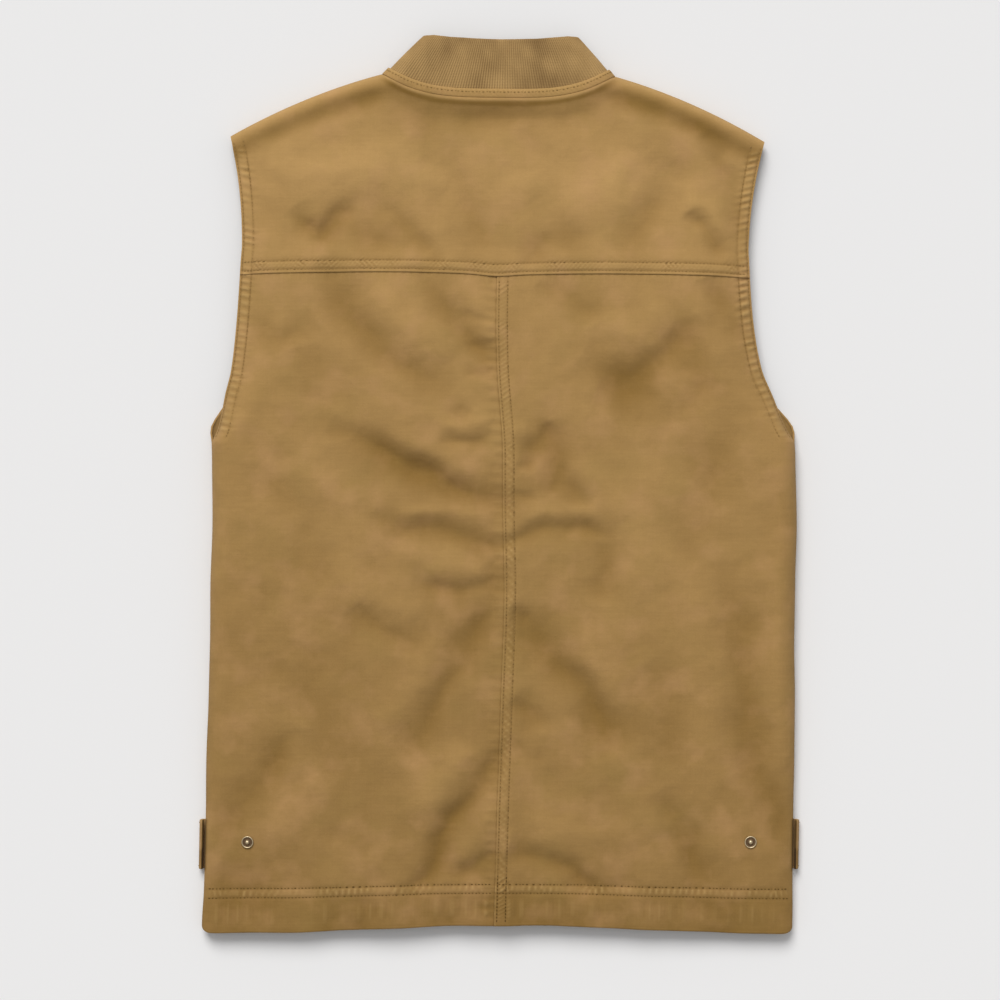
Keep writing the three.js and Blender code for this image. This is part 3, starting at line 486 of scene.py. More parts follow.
@dataclass(frozen=True)
class BackCloth:
    """The back's outer face with its folds, puckers and laps."""

    plan: VestPlan
    pixel: float = 0.89
    middle: float = 499.5
    bottom: float = 932.0
    armhole: Topstitching = Topstitching(1.8, 10.6, 6.2, 0.78, 0.25, 11)
    yoke_edge: Topstitching = Topstitching(2.8, 10.4, 4.4, 0.8, 1.0, 12)
    centre: Topstitching = Topstitching(1.8, 9.4, 4.4, 0.55, -0.6, 13)
    hem: Topstitching = Topstitching(31.0, 39.5, 5.4, 0.72, 0.3, 14)

    def folds(self, x: Array, y: Array) -> Array:
        """Height of all folds and wrinkles together.

        Args:
            x: Places across.
            y: Heights above the hem.

        Returns:
            What they add to the loft.
        """
        plan = self.plan
        across = (x + plan.lean(y)) / self.pixel + self.middle
        down = self.bottom - (y + plan.hem_shift(x, y)) / self.pixel
        across = across + 4.5 * crumple(x, y, 30, 24) + 1.5 * crumple(x, y, 12, 25)
        down = down + 4.5 * crumple(x, y, 30, 26) + 1.5 * crumple(x, y, 12, 27)
        height = sum(fold.height(across, down) for fold in FOLDS) * (1.1 + 0.2 * crumple(x, y, 23, 28))
        soft = crumple(x, y, 46, 21) + 0.6 * crumple(x + 0.5 * y, y - 0.4 * x, 21, 22)
        trough = -3.4 * bell(plan.shoulder_line(x) - y - 20, 11) * ramp(np.abs(x), 84, 118)
        fine = 0.26 * crumple(0.8 * x - 0.5 * y, y + 0.3 * x, 11, 23) + 0.1 * crumple(x, y, 6, 29)
        return (height + soft + trough) * ramp(plan.neckline(x) - y, 1, 20) + fine

    def crease(self, x: Array, y: Array) -> Array:
        """How deep in a fold the cloth lies, as painted shading: below 0 where shade is painted, above 0 where a
        highlight is painted.

        Args:
            x: Places across.
            y: Heights above the hem.

        Returns:
            The painted shading.
        """
        plan = self.plan
        neck, shoulder, half = plan.neckline(x) - y, plan.shoulder_line(x) - y, plan.neck_half
        # Painted highlight on the neckline's lip and painted shade in the band below it.
        neck_lip_shading = bell(neck - 0.8, 1.4) - 1.5 * bell(neck - 4.6, 2.6 + 0.8 * crumple(x, 0 * x, 20, 36))
        neck_lip_shading = (neck_lip_shading - 0.5 * bell(neck - 10, 7)) * (1 - ramp(np.abs(x), half - 16, half + 6))
        # Painted highlight along the shoulder's fold and painted shade in the trough below it.
        shoulder_shading = 0.5 * bell(shoulder - 2, 3) - (0.8 + 0.5 * crumple(x, y, 30, 37)) * bell(shoulder - 17, 10)
        shoulder_shading = shoulder_shading * ramp(np.abs(x), half - 22, half + 12)
        band = -0.42 * (1 - ramp(y, 26, 36)) - 0.3 * bell(y, 4)
        # Painted highlight across the middle of the yoke, where it bulges towards the light.
        yoke_highlight = 0.55 * bell(y - 668, 34)
        # Painted shadow along the panel's edge beside each tab.
        tab = 1 - ramp(np.abs(y - plan.tab_height), plan.tab_width / 2, plan.tab_width / 2 + 2)
        tab_shadow = -3.2 * bell(plan.back_half(y) - np.abs(x), 1.5) * tab
        # Painted shade in the folds' valleys and painted highlights on their ridges, together with the painted marks
        # above.
        return np.clip(self.folds(x, y) / 6.2, -1.15, 0.9) + neck_lip_shading + shoulder_shading + band + yoke_highlight + tab_shadow

    def armhole_inward(self, x: Array, y: Array) -> Array:
        """Distance in from the armhole's edge, square to it."""
        return (self.plan.back_half(y) - np.abs(x)) / np.hypot(1, self.plan.edge_slope(y))

    def puckers(self, x: Array, y: Array) -> Array:
        """What the topstitching adds to the height.

        Args:
            x: Places across.
            y: Heights above the hem.

        Returns:
            The heights.
        """
        plan = self.plan
        inward, above, side = self.armhole_inward(x, y), y - plan.yoke_seam, x - plan.seam(y)
        at_arm = ramp(y, plan.underarm - 3, plan.underarm + 12)
        at_arm = at_arm * (1 - ramp(y, plan.shoulder_tip - 14, plan.shoulder_tip - 4))
        arm = self.armhole.relief(y + 700 * (x > 0), inward) * at_arm
        yoke = self.yoke_edge.relief(x, above) + 0.24 * ripple(x, 7.3, 2, 27, 31) * bell(above + 5, 5)
        yoke = yoke * (ramp(inward, 9, 15) * at_arm + (1 - at_arm))
        left = 0.3 * np.sin(TURN * y / 9.1 + 2.2 * crumple(0 * y, y, 33, 32)) * bell(side + 5, 7)
        seam = (self.centre.relief(y, side) + left) * (1 - ramp(above, -14, -1)) * ramp(y, 2, 12)
        band = 0.55 * ripple(x, 11, 3.4, 31, 33) * (0.5 + 0.5 * crumple(x, y, 17, 34))
        band = band * ramp(y, 2, 12) * (1 - ramp(y, 20, 33))
        edge = ramp(plan.back_half(y) - np.abs(x), 1, 14) * (1 - at_arm) + at_arm
        gathers = 0.14 * ripple(x, 9.4, 2, 25, 35) * bell(plan.neckline(x) - y - 9, 6)
        gathers = gathers * (1 - ramp(np.abs(x), plan.neck_half - 14, plan.neck_half - 4))
        return arm + yoke + (seam + self.hem.relief(x, y) + band) * edge + gathers

    def wall(self, y: Array | float) -> Array:
        """Thickness of the back panels, which the turned hem doubles."""
        return lerp(self.plan.hem_wall, self.plan.cloth, ramp(y, 32, 44))

    def lift(self, layer: Layer, x: Array, y: Array) -> Array:
        """How far a layer lies above the panels' own face.

        Args:
            layer: Which cloth layer.
            x: Places across.
            y: Heights above the hem.

        Returns:
            The heights.
        """
        plan = self.plan
        aside = x - plan.seam(y)
        over = 1 - ramp(aside, plan.lap, plan.lap + plan.lap_fade)
        if layer is Layer.RIGHT_PANEL:
            return (self.wall(y) + plan.ply_gap) * over
        if layer is Layer.YOKE:
            up = 1 - ramp(y - plan.yoke_seam, plan.lap, plan.lap + plan.lap_fade)
            return (plan.cloth + plan.ply_gap) * (1 + over * ramp(aside, -plan.lap_fade, 0)) * up
        return np.zeros_like(x)

    def points(self, layer: Layer, x: Array, y: Array) -> Array:
        """Plan points of a layer's outer face.

        Args:
            layer: Which cloth layer.
            x: Places across.
            y: Heights above the hem, before its middle is drawn up.

        Returns:
            An array of points, one row of three for each place.
        """
        x, y = np.broadcast_arrays(np.asarray(x, float), np.asarray(y, float))
        z = self.plan.back_height(x, y, self.folds(x, y)) + self.puckers(x, y) + self.lift(layer, x, y)
        return np.stack([x, y + self.plan.hem_shift(x, y), z], axis=-1)

    def wear(self, layer: Layer, x: Array, y: Array) -> Array:
        """How rubbed the cloth is, with painted shade: from -1 where shade is painted into the grooves and under lapped
        edges, to 1 on the rubbed ridges and edges.

        Args:
            layer: Which cloth layer.
            x: Places across.
            y: Heights above the hem.

        Returns:
            The rubbing, with painted shade below 0.
        """
        plan = self.plan
        inward, above, side = self.armhole_inward(x, y), y - plan.yoke_seam, x - plan.seam(y)
        opened = plan.openness(y)
        # Rubbed lighter on the pucker crests; shade painted into the pucker troughs and along the stitch rows.
        rubbed = self.puckers(x, y) - 0.3 * (self.armhole.grooves(inward) * opened + self.yoke_edge.grooves(above))
        rubbed = rubbed - 0.15 * self.centre.grooves(side) * (above < 0) - 0.5 * self.hem.grooves(y)
        rubbed = rubbed + 0.5 * bell(inward, 1.6) * opened + 0.35 * bell(y, 2)
        if layer is Layer.RIGHT_PANEL:
            rubbed = rubbed + 0.4 * bell(side, 1.3)
        # Painted shadow on the left panel under the right panel's lapped edge.
        if layer is Layer.LEFT_PANEL:
            rubbed = rubbed - 0.8 * bell(side, 1.5)
        # The yoke's lapped edge is rubbed lighter; a painted shadow falls on the panels below it.
        at_seam = 0.35 * bell(above - 1, 1.6) if layer is Layer.YOKE else -0.7 * bell(above, 1.4)
        return np.clip(rubbed + at_seam, -1, 1)


@dataclass(frozen=True)
class RowFrame:
    """Where the plan lies in the row frame, and how the cloth sways there."""

    plan: VestPlan
    right: float
    up: float
    sag_rows: Rows = (
        (-260.0, -2.0), (-180.0, 0.2), (-90.0, 1.7), (-25.0, 0.2), (2.0, -2.0), (30.0, -0.4), (95.0, 0.9),
        (180.0, 0.2), (260.0, -3.2)
    )
    side_sway: float = 1.1
    hem_corner: float = 9.0

    @classmethod
    def from_cad(cls, plan: VestPlan) -> "RowFrame":
        """Reads the plan's place, in millimetres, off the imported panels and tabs."""
        middle = (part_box("side_tab_left")[0].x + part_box("side_tab_right")[1].x) / 2 / MM
        return cls(plan, middle - float(plan.lean(plan.tab_height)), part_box("back_panel_left")[0].y / MM)

    def place(self, points: Array) -> Array:
        """Plan points in the row frame.

        Args:
            points: Plan points, in millimetres.

        Returns:
            The same points in metres, leaning as the vest does, with none below the floor.
        """
        plan = self.plan
        x, y, z = np.moveaxis(np.asarray(points, float), -1, 0)
        outer = ramp(np.abs(x), 228, 262) * ramp(np.abs(y - plan.tab_height), 26, 60)
        sway = self.side_sway * crumple(y, 300 * np.sign(x), 52, 71) * outer
        beyond = np.clip((np.abs(x) - plan.hem_half + self.hem_corner) / self.hem_corner, 0, 1)
        corner = self.hem_corner * 0.7 * (1 - np.sqrt(1 - beyond**2)) * (1 - ramp(y, 0, 30))
        sag = through(self.sag_rows, x) * bell(y - plan.yoke_seam, 46)
        edge = 0.9 * crumple(x, 0 * x, 44, 72) * (1 - ramp(y, 0, 60))
        right, up = plan.lean(y) + sway + self.right, plan.slant(x, y) + corner + sag + edge + self.up
        return np.stack([x + right, y + up, np.maximum(z, 0)], -1) * MM


def linked(name: str, data: bpy.types.ID) -> Object:
    """A new object in the scene.

    Args:
        name: Its name.
        data: Its mesh, camera or light.

    Returns:
        The object.
    """
    made = bpy.data.objects.new(name, data)
    bpy.context.scene.collection.objects.link(made)
    return made


def mesh_object(name: str, points: Array, faces: Array, material: Material, **painted: Array) -> Object:
    """A smooth mesh from points in metres and faces of equal size.

    Args:
        name: The piece's name.
        points: One row of three for each point.
        faces: One row of point numbers for each face.
        material: The piece's finish.
        **painted: Numbers for each point, for the finish to read.

    Returns:
        The new object, at the origin.
    """
    mesh = bpy.data.meshes.new(name)
    points, faces = np.asarray(points, np.float32).reshape(-1, 3), np.asarray(faces, np.int32)
    mesh.vertices.add(len(points))
    mesh.vertices.foreach_set("co", points.ravel())
    mesh.loops.add(faces.size)
    mesh.loops.foreach_set("vertex_index", faces.ravel())
    mesh.polygons.add(len(faces))
    mesh.polygons.foreach_set("loop_start", np.arange(0, faces.size, faces.shape[1], dtype=np.int32))
    mesh.polygons.foreach_set("use_smooth", np.ones(len(faces), bool))
    mesh.update(calc_edges=True)
    mesh.validate()
    mesh.materials.append(material)
    for key, values in painted.items():
        mesh.attributes.new(key, "FLOAT", "POINT").data.foreach_set("value", np.asarray(values, np.float32).ravel())
    return linked(name, mesh)


def tube_faces(rings: int, sides: int) -> Array:
    """Faces between closed rings of points.

    Args:
        rings: How many rings.
        sides: How many points each has.

    Returns:
        One row of four point numbers for each face.
    """
    number = np.arange(rings * sides).reshape(rings, sides)
    near, far = number[:-1], number[1:]
    return np.stack([near, np.roll(near, -1, 1), np.roll(far, -1, 1), far], -1).reshape(-1, 4)


@dataclass
class ClothWall:
    """A closed wall of cloth behind a grid of points, with a rounded rim."""

    name: str
    frame: RowFrame
    grid: Array
    wall: Array | float
    tilt: Array | float = 1.0
    facing: Array | None = None
    faces_down: bool = False
    # Painted for the finish: rubbing with painted shade below 0, and painted shading of folds and gaps.
    wear: Array | float = 0.0
    crease: Array | float = 0.0
    rim_steps: int = 3
    rim_bulge: float = 0.3

    def build(self, material: Material) -> Object:
        """Makes the wall's mesh.

        Args:
            material: The cloth's finish.

        Returns:
            The piece.
        """
        grid, shape = self.grid, self.grid.shape[:2]
        count = shape[0] * shape[1]
        way = unit(np.cross(np.gradient(grid, axis=1), np.gradient(grid, axis=0))) * (-1 if self.faces_down else 1)
        tilt, wall, wear, crease = (
            np.broadcast_to(value, shape) for value in (self.tilt, self.wall, self.wear, self.crease)
        )
        if self.facing is not None:
            way = np.where(np.isnan(self.facing), way, self.facing)
        way[..., 2] *= tilt
        way = unit(way)
        inner = grid - way * wall[..., None]
        number = np.arange(count).reshape(shape)
        loop, neighbour = (
            np.concatenate([number[low, :-1], number[:-1, right], number[high, :0:-1], number[:0:-1, left]])
            for low, right, high, left in ((0, -1, -1, 0), (1, -2, -2, 1))
        )
        outer_flat, inner_flat, way_flat = (part.reshape(-1, 3) for part in (grid, inner, way))
        off, way_there = outer_flat[loop] - outer_flat[neighbour], way_flat[loop]
        off = unit(off - (off * way_there).sum(1, keepdims=True) * way_there)
        bulge = (self.rim_bulge * wall * tilt**2).ravel()[loop]
        rims = [
            lerp(outer_flat[loop], inner_flat[loop], share) + off * (bulge * math.sin(math.pi * share))[:, None]
            for share in evenly(0, 1, self.rim_steps)[1:-1]
        ]
        a, b, c, d = number[:-1, :-1], number[:-1, 1:], number[1:, 1:], number[1:, :-1]
        faces = [np.stack([a, b, c, d], -1).reshape(-1, 4), np.stack([a, d, c, b], -1).reshape(-1, 4) + count]
        size = len(loop)
        rings = [loop, *(2 * count + k * size + np.arange(size) for k in range(len(rims))), loop + count]
        for near, far in zip(rings, rings[1:]):
            faces.append(np.stack([near, far, np.roll(far, -1), np.roll(near, -1)], 1))
        wear, crease = wear.ravel(), crease.ravel()
        return mesh_object(
            self.name, self.frame.place(np.concatenate([outer_flat, inner_flat, *rims])),
            np.concatenate(faces)[:, :: -1 if self.faces_down else 1], material,
            wear=np.concatenate([wear, wear * 0, *[wear[loop] * 0.6 + 0.2] * len(rims)]),
            crease=np.concatenate([crease, crease * 0, *[crease[loop]] * len(rims)]),
        )


class Nodes:
    """The nodes of one material, added and linked in short calls. Places are in the row frame, in metres."""

    def __init__(self, name: str) -> None:
        """Starts a material with one principled shader.

        Args:
            name: The material's name.
        """
        self.material = bpy.data.materials.new(name)
        self.material.use_nodes = True
        self.tree = self.material.node_tree
        self.shader = self.tree.nodes["Principled BSDF"]
        self.place = self.add("TexCoord", {}).outputs["Object"]
        self.x, self.y = self.add("SeparateXYZ", {0: self.place}).outputs[:2]

    def feed(self, socket: Socket, value: object) -> None:
        """Links a socket to another or sets it to a value.

        Args:
            socket: The socket.
            value: The other socket or the value.
        """
        if isinstance(value, Socket):
            self.tree.links.new(value, socket)
        else:
            socket.default_value = value

    def add(self, kind: str, inputs: dict[int | str, object], **settings: object) -> bpy.types.Node:
        """Adds a node.

        Args:
            kind: The node's type, without its prefix.
            inputs: Values or sockets for its inputs.
            **settings: Its other settings.

        Returns:
            The node.
        """
        node = self.tree.nodes.new(f"ShaderNode{kind}")
        for key, value in settings.items():
            setattr(node, key, value)
        for key, value in inputs.items():
            self.feed(node.inputs[key], value)
        return node

    def math(self, operation: str, a: object, b: object = 0.0) -> Socket:
        """Result of a sum on one or two values."""
        return self.add("Math", {0: a, 1: b}, operation=operation).outputs[0]

    def wave(self, along: object, pitch: float) -> Socket:
        """A sine wave along a place."""
        return self.math("SINE", self.math("MULTIPLY", along, TURN / pitch))

    def total(self, *terms: tuple[object, float]) -> Socket:
        """Sum of values, each times its weight.

        Args:
            *terms: Each value with its weight.

        Returns:
            The sum.
        """
        made = self.math("MULTIPLY", *terms[0])
        for value, weight in terms[1:]:
            made = self.add("Math", {0: value, 1: weight, 2: made}, operation="MULTIPLY_ADD").outputs[0]
        return made

    def tone(self, level: float, *terms: tuple[object, float]) -> Socket:
        """A level and weighted values together, kept between 0 and 1."""
        return self.add("Clamp", {0: self.total(*terms, (1.0, level))}).outputs[0]

    def mix(self, share: object, *colours: Colour | Socket) -> Socket:
        """Colour between two colours."""
        first, second = ((*colour, 1) if isinstance(colour, tuple) else colour for colour in colours)
        return self.add("Mix", {0: share, 6: first, 7: second}, data_type="RGBA").outputs[2]

    def span(self, value: object, low: float, high: float, most: float = 1.0) -> Socket:
        """A value taken from low to high down to 0 to most."""
        return self.add("MapRange", {0: value, 1: low, 2: high, 4: most}).outputs[0]

    def noise(self, scale: float, detail: float = 2.0, stretch: Colour | None = None) -> Socket:
        """Noise around 0, from about -0.5 to 0.5, with its own scale along each axis where one is given.

        Args:
            scale: How fine it is.
            detail: How many finer layers it has.
            stretch: Its scale along each axis, if they differ.

        Returns:
            The noise.
        """
        place = self.add("Mapping", {"Vector": self.place, "Scale": stretch}).outputs[0] if stretch else self.place
        made = self.add("TexNoise", {"Vector": place, "Scale": scale, "Detail": detail})
        return self.math("SUBTRACT", made.outputs[0], 0.5)

    def attribute(self, name: str) -> Socket:
        """A number painted on the mesh's points."""
        return self.add("Attribute", {}, attribute_name=name).outputs["Fac"]

    def dress(self, colour: object, roughness: object, bumps: Layers, **others: float) -> Material:
        """Sets the shader.

        Args:
            colour: Its base colour.
            roughness: Its roughness.
            bumps: Height fields, each with its depth in metres.
            **others: Its other sockets, named with _ for a space.

        Returns:
            The material.
        """
        values = {"Base Color": colour, "Roughness": roughness}
        if bumps:
            values["Normal"] = self.add("Bump", {"Height": self.total(*bumps), "Distance": 1.0}).outputs[0]
        for key, value in (values | others).items():
            self.feed(self.shader.inputs[key.replace("_", " ")], value)
        return self.material


@dataclass(frozen=True)
class CanvasFinish:
    """Washed cotton canvas: mottled, slubby and rubbed pale on its ridges, with painted light: lighter towards the
    shoulders, shade painted into its folds and grooves, and painted shadows under lapped edges and beside the tabs.
    """

    name: str = "washed_canvas"
    pale: Colour = (0.54, 0.33, 0.125)
    # Dark end of the tone, also painted as shade into the grooves and under lapped edges.
    deep: Colour = (0.155, 0.084, 0.0165)
    # Painted shadow in the gap between each tab and the panel.
    gap: Colour = (0.045, 0.023, 0.008)
    rosy: Colour = (0.50, 0.285, 0.128)
    olive: Colour = (0.27, 0.185, 0.048)
    # Painted shade in the folds' valleys.
    valley: Colour = (0.2, 0.105, 0.01)
    rubbed: Colour = (0.60, 0.40, 0.16)
    # Painted light: how much lighter the canvas is drawn towards the collar, as the light falls from beyond it.
    painted_top_light: float = 0.38
    level: float = 0.505
    thread: float = 0.0007

    def material(self) -> Material:
        """Builds the finish.

        Returns:
            The material.
        """
        nodes = Nodes(self.name)
        noise, span = nodes.noise, nodes.span
        wear, crease = nodes.attribute("wear"), nodes.attribute("crease")
        mottle, patch, grain, wrinkle = noise(13, 4), noise(55, 3), noise(900), noise(160, 3)
        slub, warp = noise(1.0, 2, (34, 620, 60)), noise(1.0, 2, (620, 30, 60))
        # The tone is painted lighter towards the collar and follows the painted shading; its mottle, slubs and grain
        # are the cloth's own.
        tone = nodes.tone(
            self.level, (nodes.y, self.painted_top_light), (mottle, 0.22), (patch, 0.15), (slub, 0.09), (warp, 0.05),
            (grain, 0.12), (crease, 0.2),
        )
        colour = nodes.mix(tone, self.deep, self.pale)
        # The olive and rosy patches and the rubbed colour are the cloth's own; the valley, deep and gap colours are
        # painted shade and shadow.
        for share, other in (
            (span(noise(21, 3), 0.0, 0.5, 0.35), self.olive), (span(noise(31, 4), 0.0, -0.3, 0.45), self.rosy),
            (span(crease, -0.1, -1.6, 0.4), self.valley), (span(wear, 0.1, 1.2, 0.4), self.rubbed),
            (span(wear, -0.15, -1.2, 0.6), self.deep), (span(crease, -1.9, -3.4), self.gap),
        ):
            colour = nodes.mix(share, colour, other)
        weave = nodes.math("MULTIPLY", nodes.wave(nodes.x, self.thread), nodes.wave(nodes.y, self.thread))
        bumps = (weave, 0.00004), (slub, 0.00008), (warp, 0.00005), (wrinkle, 0.00028), (patch, 0.0008)
        roughness = nodes.total((grain, 0.15), (wear, 0.04), (1.0, 0.88))
        return nodes.dress(colour, roughness, bumps, Sheen_Weight=0.03, Sheen_Roughness=0.6, Specular_IOR_Level=0.15)


@dataclass(frozen=True)
class KnitFinish:
    """Cotton rib knit, with painted shade: pale on the ribs, shade painted dark into the channels and the folds, with
    small stitches along each rib.
    """

    name: str = "rib_knit"
    pale: Colour = (0.52, 0.33, 0.128)
    deep: Colour = (0.15, 0.08, 0.02)
    stitch: float = 0.0014

    def material(self) -> Material:
        """Builds the finish.

        Returns:
            The material.
        """
        nodes = Nodes(self.name)
        mottle, fuzz = nodes.noise(1.0, 3, (60, 18, 18)), nodes.noise(1100)
        loops = nodes.wave(nodes.y, self.stitch)
        # Painted shade: the channels between the ribs are drawn darker than the ribs, and the collar's folds are
        # painted lighter and darker.
        ribs = nodes.math("MULTIPLY", nodes.attribute("wear"), nodes.total((mottle, 0.5), (1.0, 0.16)))
        crease = nodes.attribute("crease")
        tone = nodes.tone(0.42, (ribs, 1.0), (crease, 0.24), (mottle, 0.5), (fuzz, 0.25), (loops, 0.04))
        bumps = (loops, 0.00006), (fuzz, 0.0002), (mottle, 0.0006)
        colour = nodes.mix(tone, self.deep, self.pale)
        return nodes.dress(colour, 0.92, bumps, Sheen_Weight=0.04, Sheen_Roughness=0.5)


@dataclass(frozen=True)
class ThreadFinish:
    """Twisted sewing thread, darker at the hem, and painted lighter towards the collar."""

    name: str = "khaki_thread"
    pale: Colour = (0.47, 0.295, 0.105)
    deep: Colour = (0.11, 0.06, 0.016)
    hem_line: float = -0.345

    def material(self) -> Material:
        """Builds the finish.

        Returns:
            The material.
        """
        nodes = Nodes(self.name)
        waves = {"Vector": nodes.place, "Scale": 900, "Distortion": 1.0}
        twist = nodes.add("TexWave", waves, bands_direction="DIAGONAL").outputs[1]
        hem = nodes.span(nodes.y, self.hem_line, self.hem_line - 0.005)
        # Painted light: the thread is drawn lighter towards the collar, as the light falls from beyond it.
        tone = nodes.tone(0.3, (twist, 0.3), (nodes.noise(120), 0.4), (nodes.y, 0.3), (hem, -0.4))
        colour = nodes.mix(tone, self.deep, self.pale)
        return nodes.dress(colour, 0.85, ((twist, 0.00006),), Specular_IOR_Level=0.1)


@dataclass(frozen=True)
class BrassFinish:
    """Antique brass: brown-black in its grooves, rubbed bright on its rim and ball."""

    name: str = "antique_brass"
    bright: Colour = (0.66, 0.54, 0.35)
    dull: Colour = (0.15, 0.095, 0.052)

    def material(self) -> Material:
        """Builds the finish.

        Returns:
            The material.
        """
        nodes = Nodes(self.name)
        stain, grain = nodes.noise(420, 4), nodes.noise(2600)
        tone = nodes.tone(0.42, (nodes.attribute("wear"), 0.6), (stain, 0.7), (grain, 0.25))
        roughness = nodes.total((nodes.span(tone, -0.6, 1.6), -0.62), (1.0, 0.85))
        bumps = (stain, 0.00006), (grain, 0.00002)
        return nodes.dress(nodes.mix(tone, self.dull, self.bright), roughness, bumps, Metallic=0.9)


@dataclass(frozen=True)
class ZipFinish:
    """Woven zip tape, with its teeth as a raised ladder down the middle."""

    name: str = "zip_tape"
    tape: Colour = (0.22, 0.14, 0.065)
    teeth: Colour = (0.26, 0.21, 0.13)

    def material(self) -> Material:
        """Builds the finish.

        Returns:
            The material.
        """
        nodes = Nodes(self.name)
        middle = nodes.span(nodes.math("ABSOLUTE", nodes.x), 0.0034, 0.0028)
        rungs = nodes.math("MULTIPLY", nodes.span(nodes.wave(nodes.y, 0.0025), -0.2, 0.3), middle)
        twill, fuzz = nodes.wave(nodes.math("ADD", nodes.x, nodes.y), 0.0009), nodes.noise(800)
        tone = nodes.tone(0.15, (rungs, 0.8), (fuzz, 0.4))
        bumps = (rungs, 0.0004), (twill, 0.00004), (fuzz, 0.0001)
        return nodes.dress(nodes.mix(tone, self.tape, self.teeth), 0.75, bumps)


@dataclass(frozen=True)
class FloorFinish:
    """A plain pale studio floor."""

    name: str = "pale_floor"
    colour: Colour = (0.81, 0.812, 0.825)

    def material(self) -> Material:
        """Builds the finish."""
        return Nodes(self.name).dress((*self.colour, 1), 0.9, (), Specular_IOR_Level=0.1)


@dataclass(frozen=True)
class Finishes:
    """All of the vest's materials, built once."""

    canvas: Material
    tab: Material
    knit: Material
    thread: Material
    brass: Material
    zip: Material

    @classmethod
    def build(cls) -> "Finishes":
        """Builds every finish.

        Returns:
            The finishes.
        """
        tab = CanvasFinish(name="tab_canvas", pale=(0.56, 0.35, 0.17), level=0.5, painted_top_light=0.0)
        kinds = (CanvasFinish(), tab, KnitFinish(), ThreadFinish(), BrassFinish(), ZipFinish())
        return cls(*(kind.material() for kind in kinds))


@dataclass
class Stitches:
    """Rows of raised stitches along lines on the cloth."""

    name: str
    frame: RowFrame
    pitch: float = 3.1
    length: float = 2.35
    wide: float = 0.5
    high: float = 0.3
    sides: int = 5
    rings: int = 5

    def build(self, lines: Sequence[Array], thread: Material) -> Object:
        """Makes one mesh of all stitches.

        Args:
            lines: For each row, points along it and the way out of the cloth, as rows of six numbers.
            thread: The thread's finish.

        Returns:
            The piece.
        """
        parts = []
        for line in lines:
            done = distances(line[:, :3])
            stops = np.arange(self.pitch, done[-1] - self.pitch / 2, self.pitch)
            ways = read_at(stops + 1, done, line[:, :3]) - read_at(stops - 1, done, line[:, :3])
            parts.append(np.concatenate([read_at(stops, done, line), ways], 1))
        middle, out, way = np.split(np.concatenate(parts), 3, 1)
        way = unit(way)
        out = unit(out - (out * way).sum(1, keepdims=True) * way)
        along = np.linspace(-1, 1, self.rings)
        swell = np.sqrt(np.clip(1 - (0.94 * along) ** 4, 0, 1))
        turns = np.arange(self.sides) * TURN / self.sides + math.pi / 2
        a = np.repeat(along, self.sides) * self.length / 2
        b = np.outer(swell, np.cos(turns)).ravel() * self.wide
        c = np.outer(swell, np.sin(turns)).ravel() * self.high + np.repeat(0.22 - 0.4 * along**2, self.sides)
        terms = zip((a, b, c), (way, np.cross(out, way), out))
        points = middle[:, None] + sum(offs[:, None] * ways[:, None] for offs, ways in terms)
        starts = np.arange(len(middle)) * self.sides * self.rings
        faces = (tube_faces(self.rings, self.sides) + starts[:, None, None]).reshape(-1, 4)
        piece = mesh_object(self.name, self.frame.place(points.reshape(-1, 3)), faces, thread)
        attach(piece, "root")
        return piece


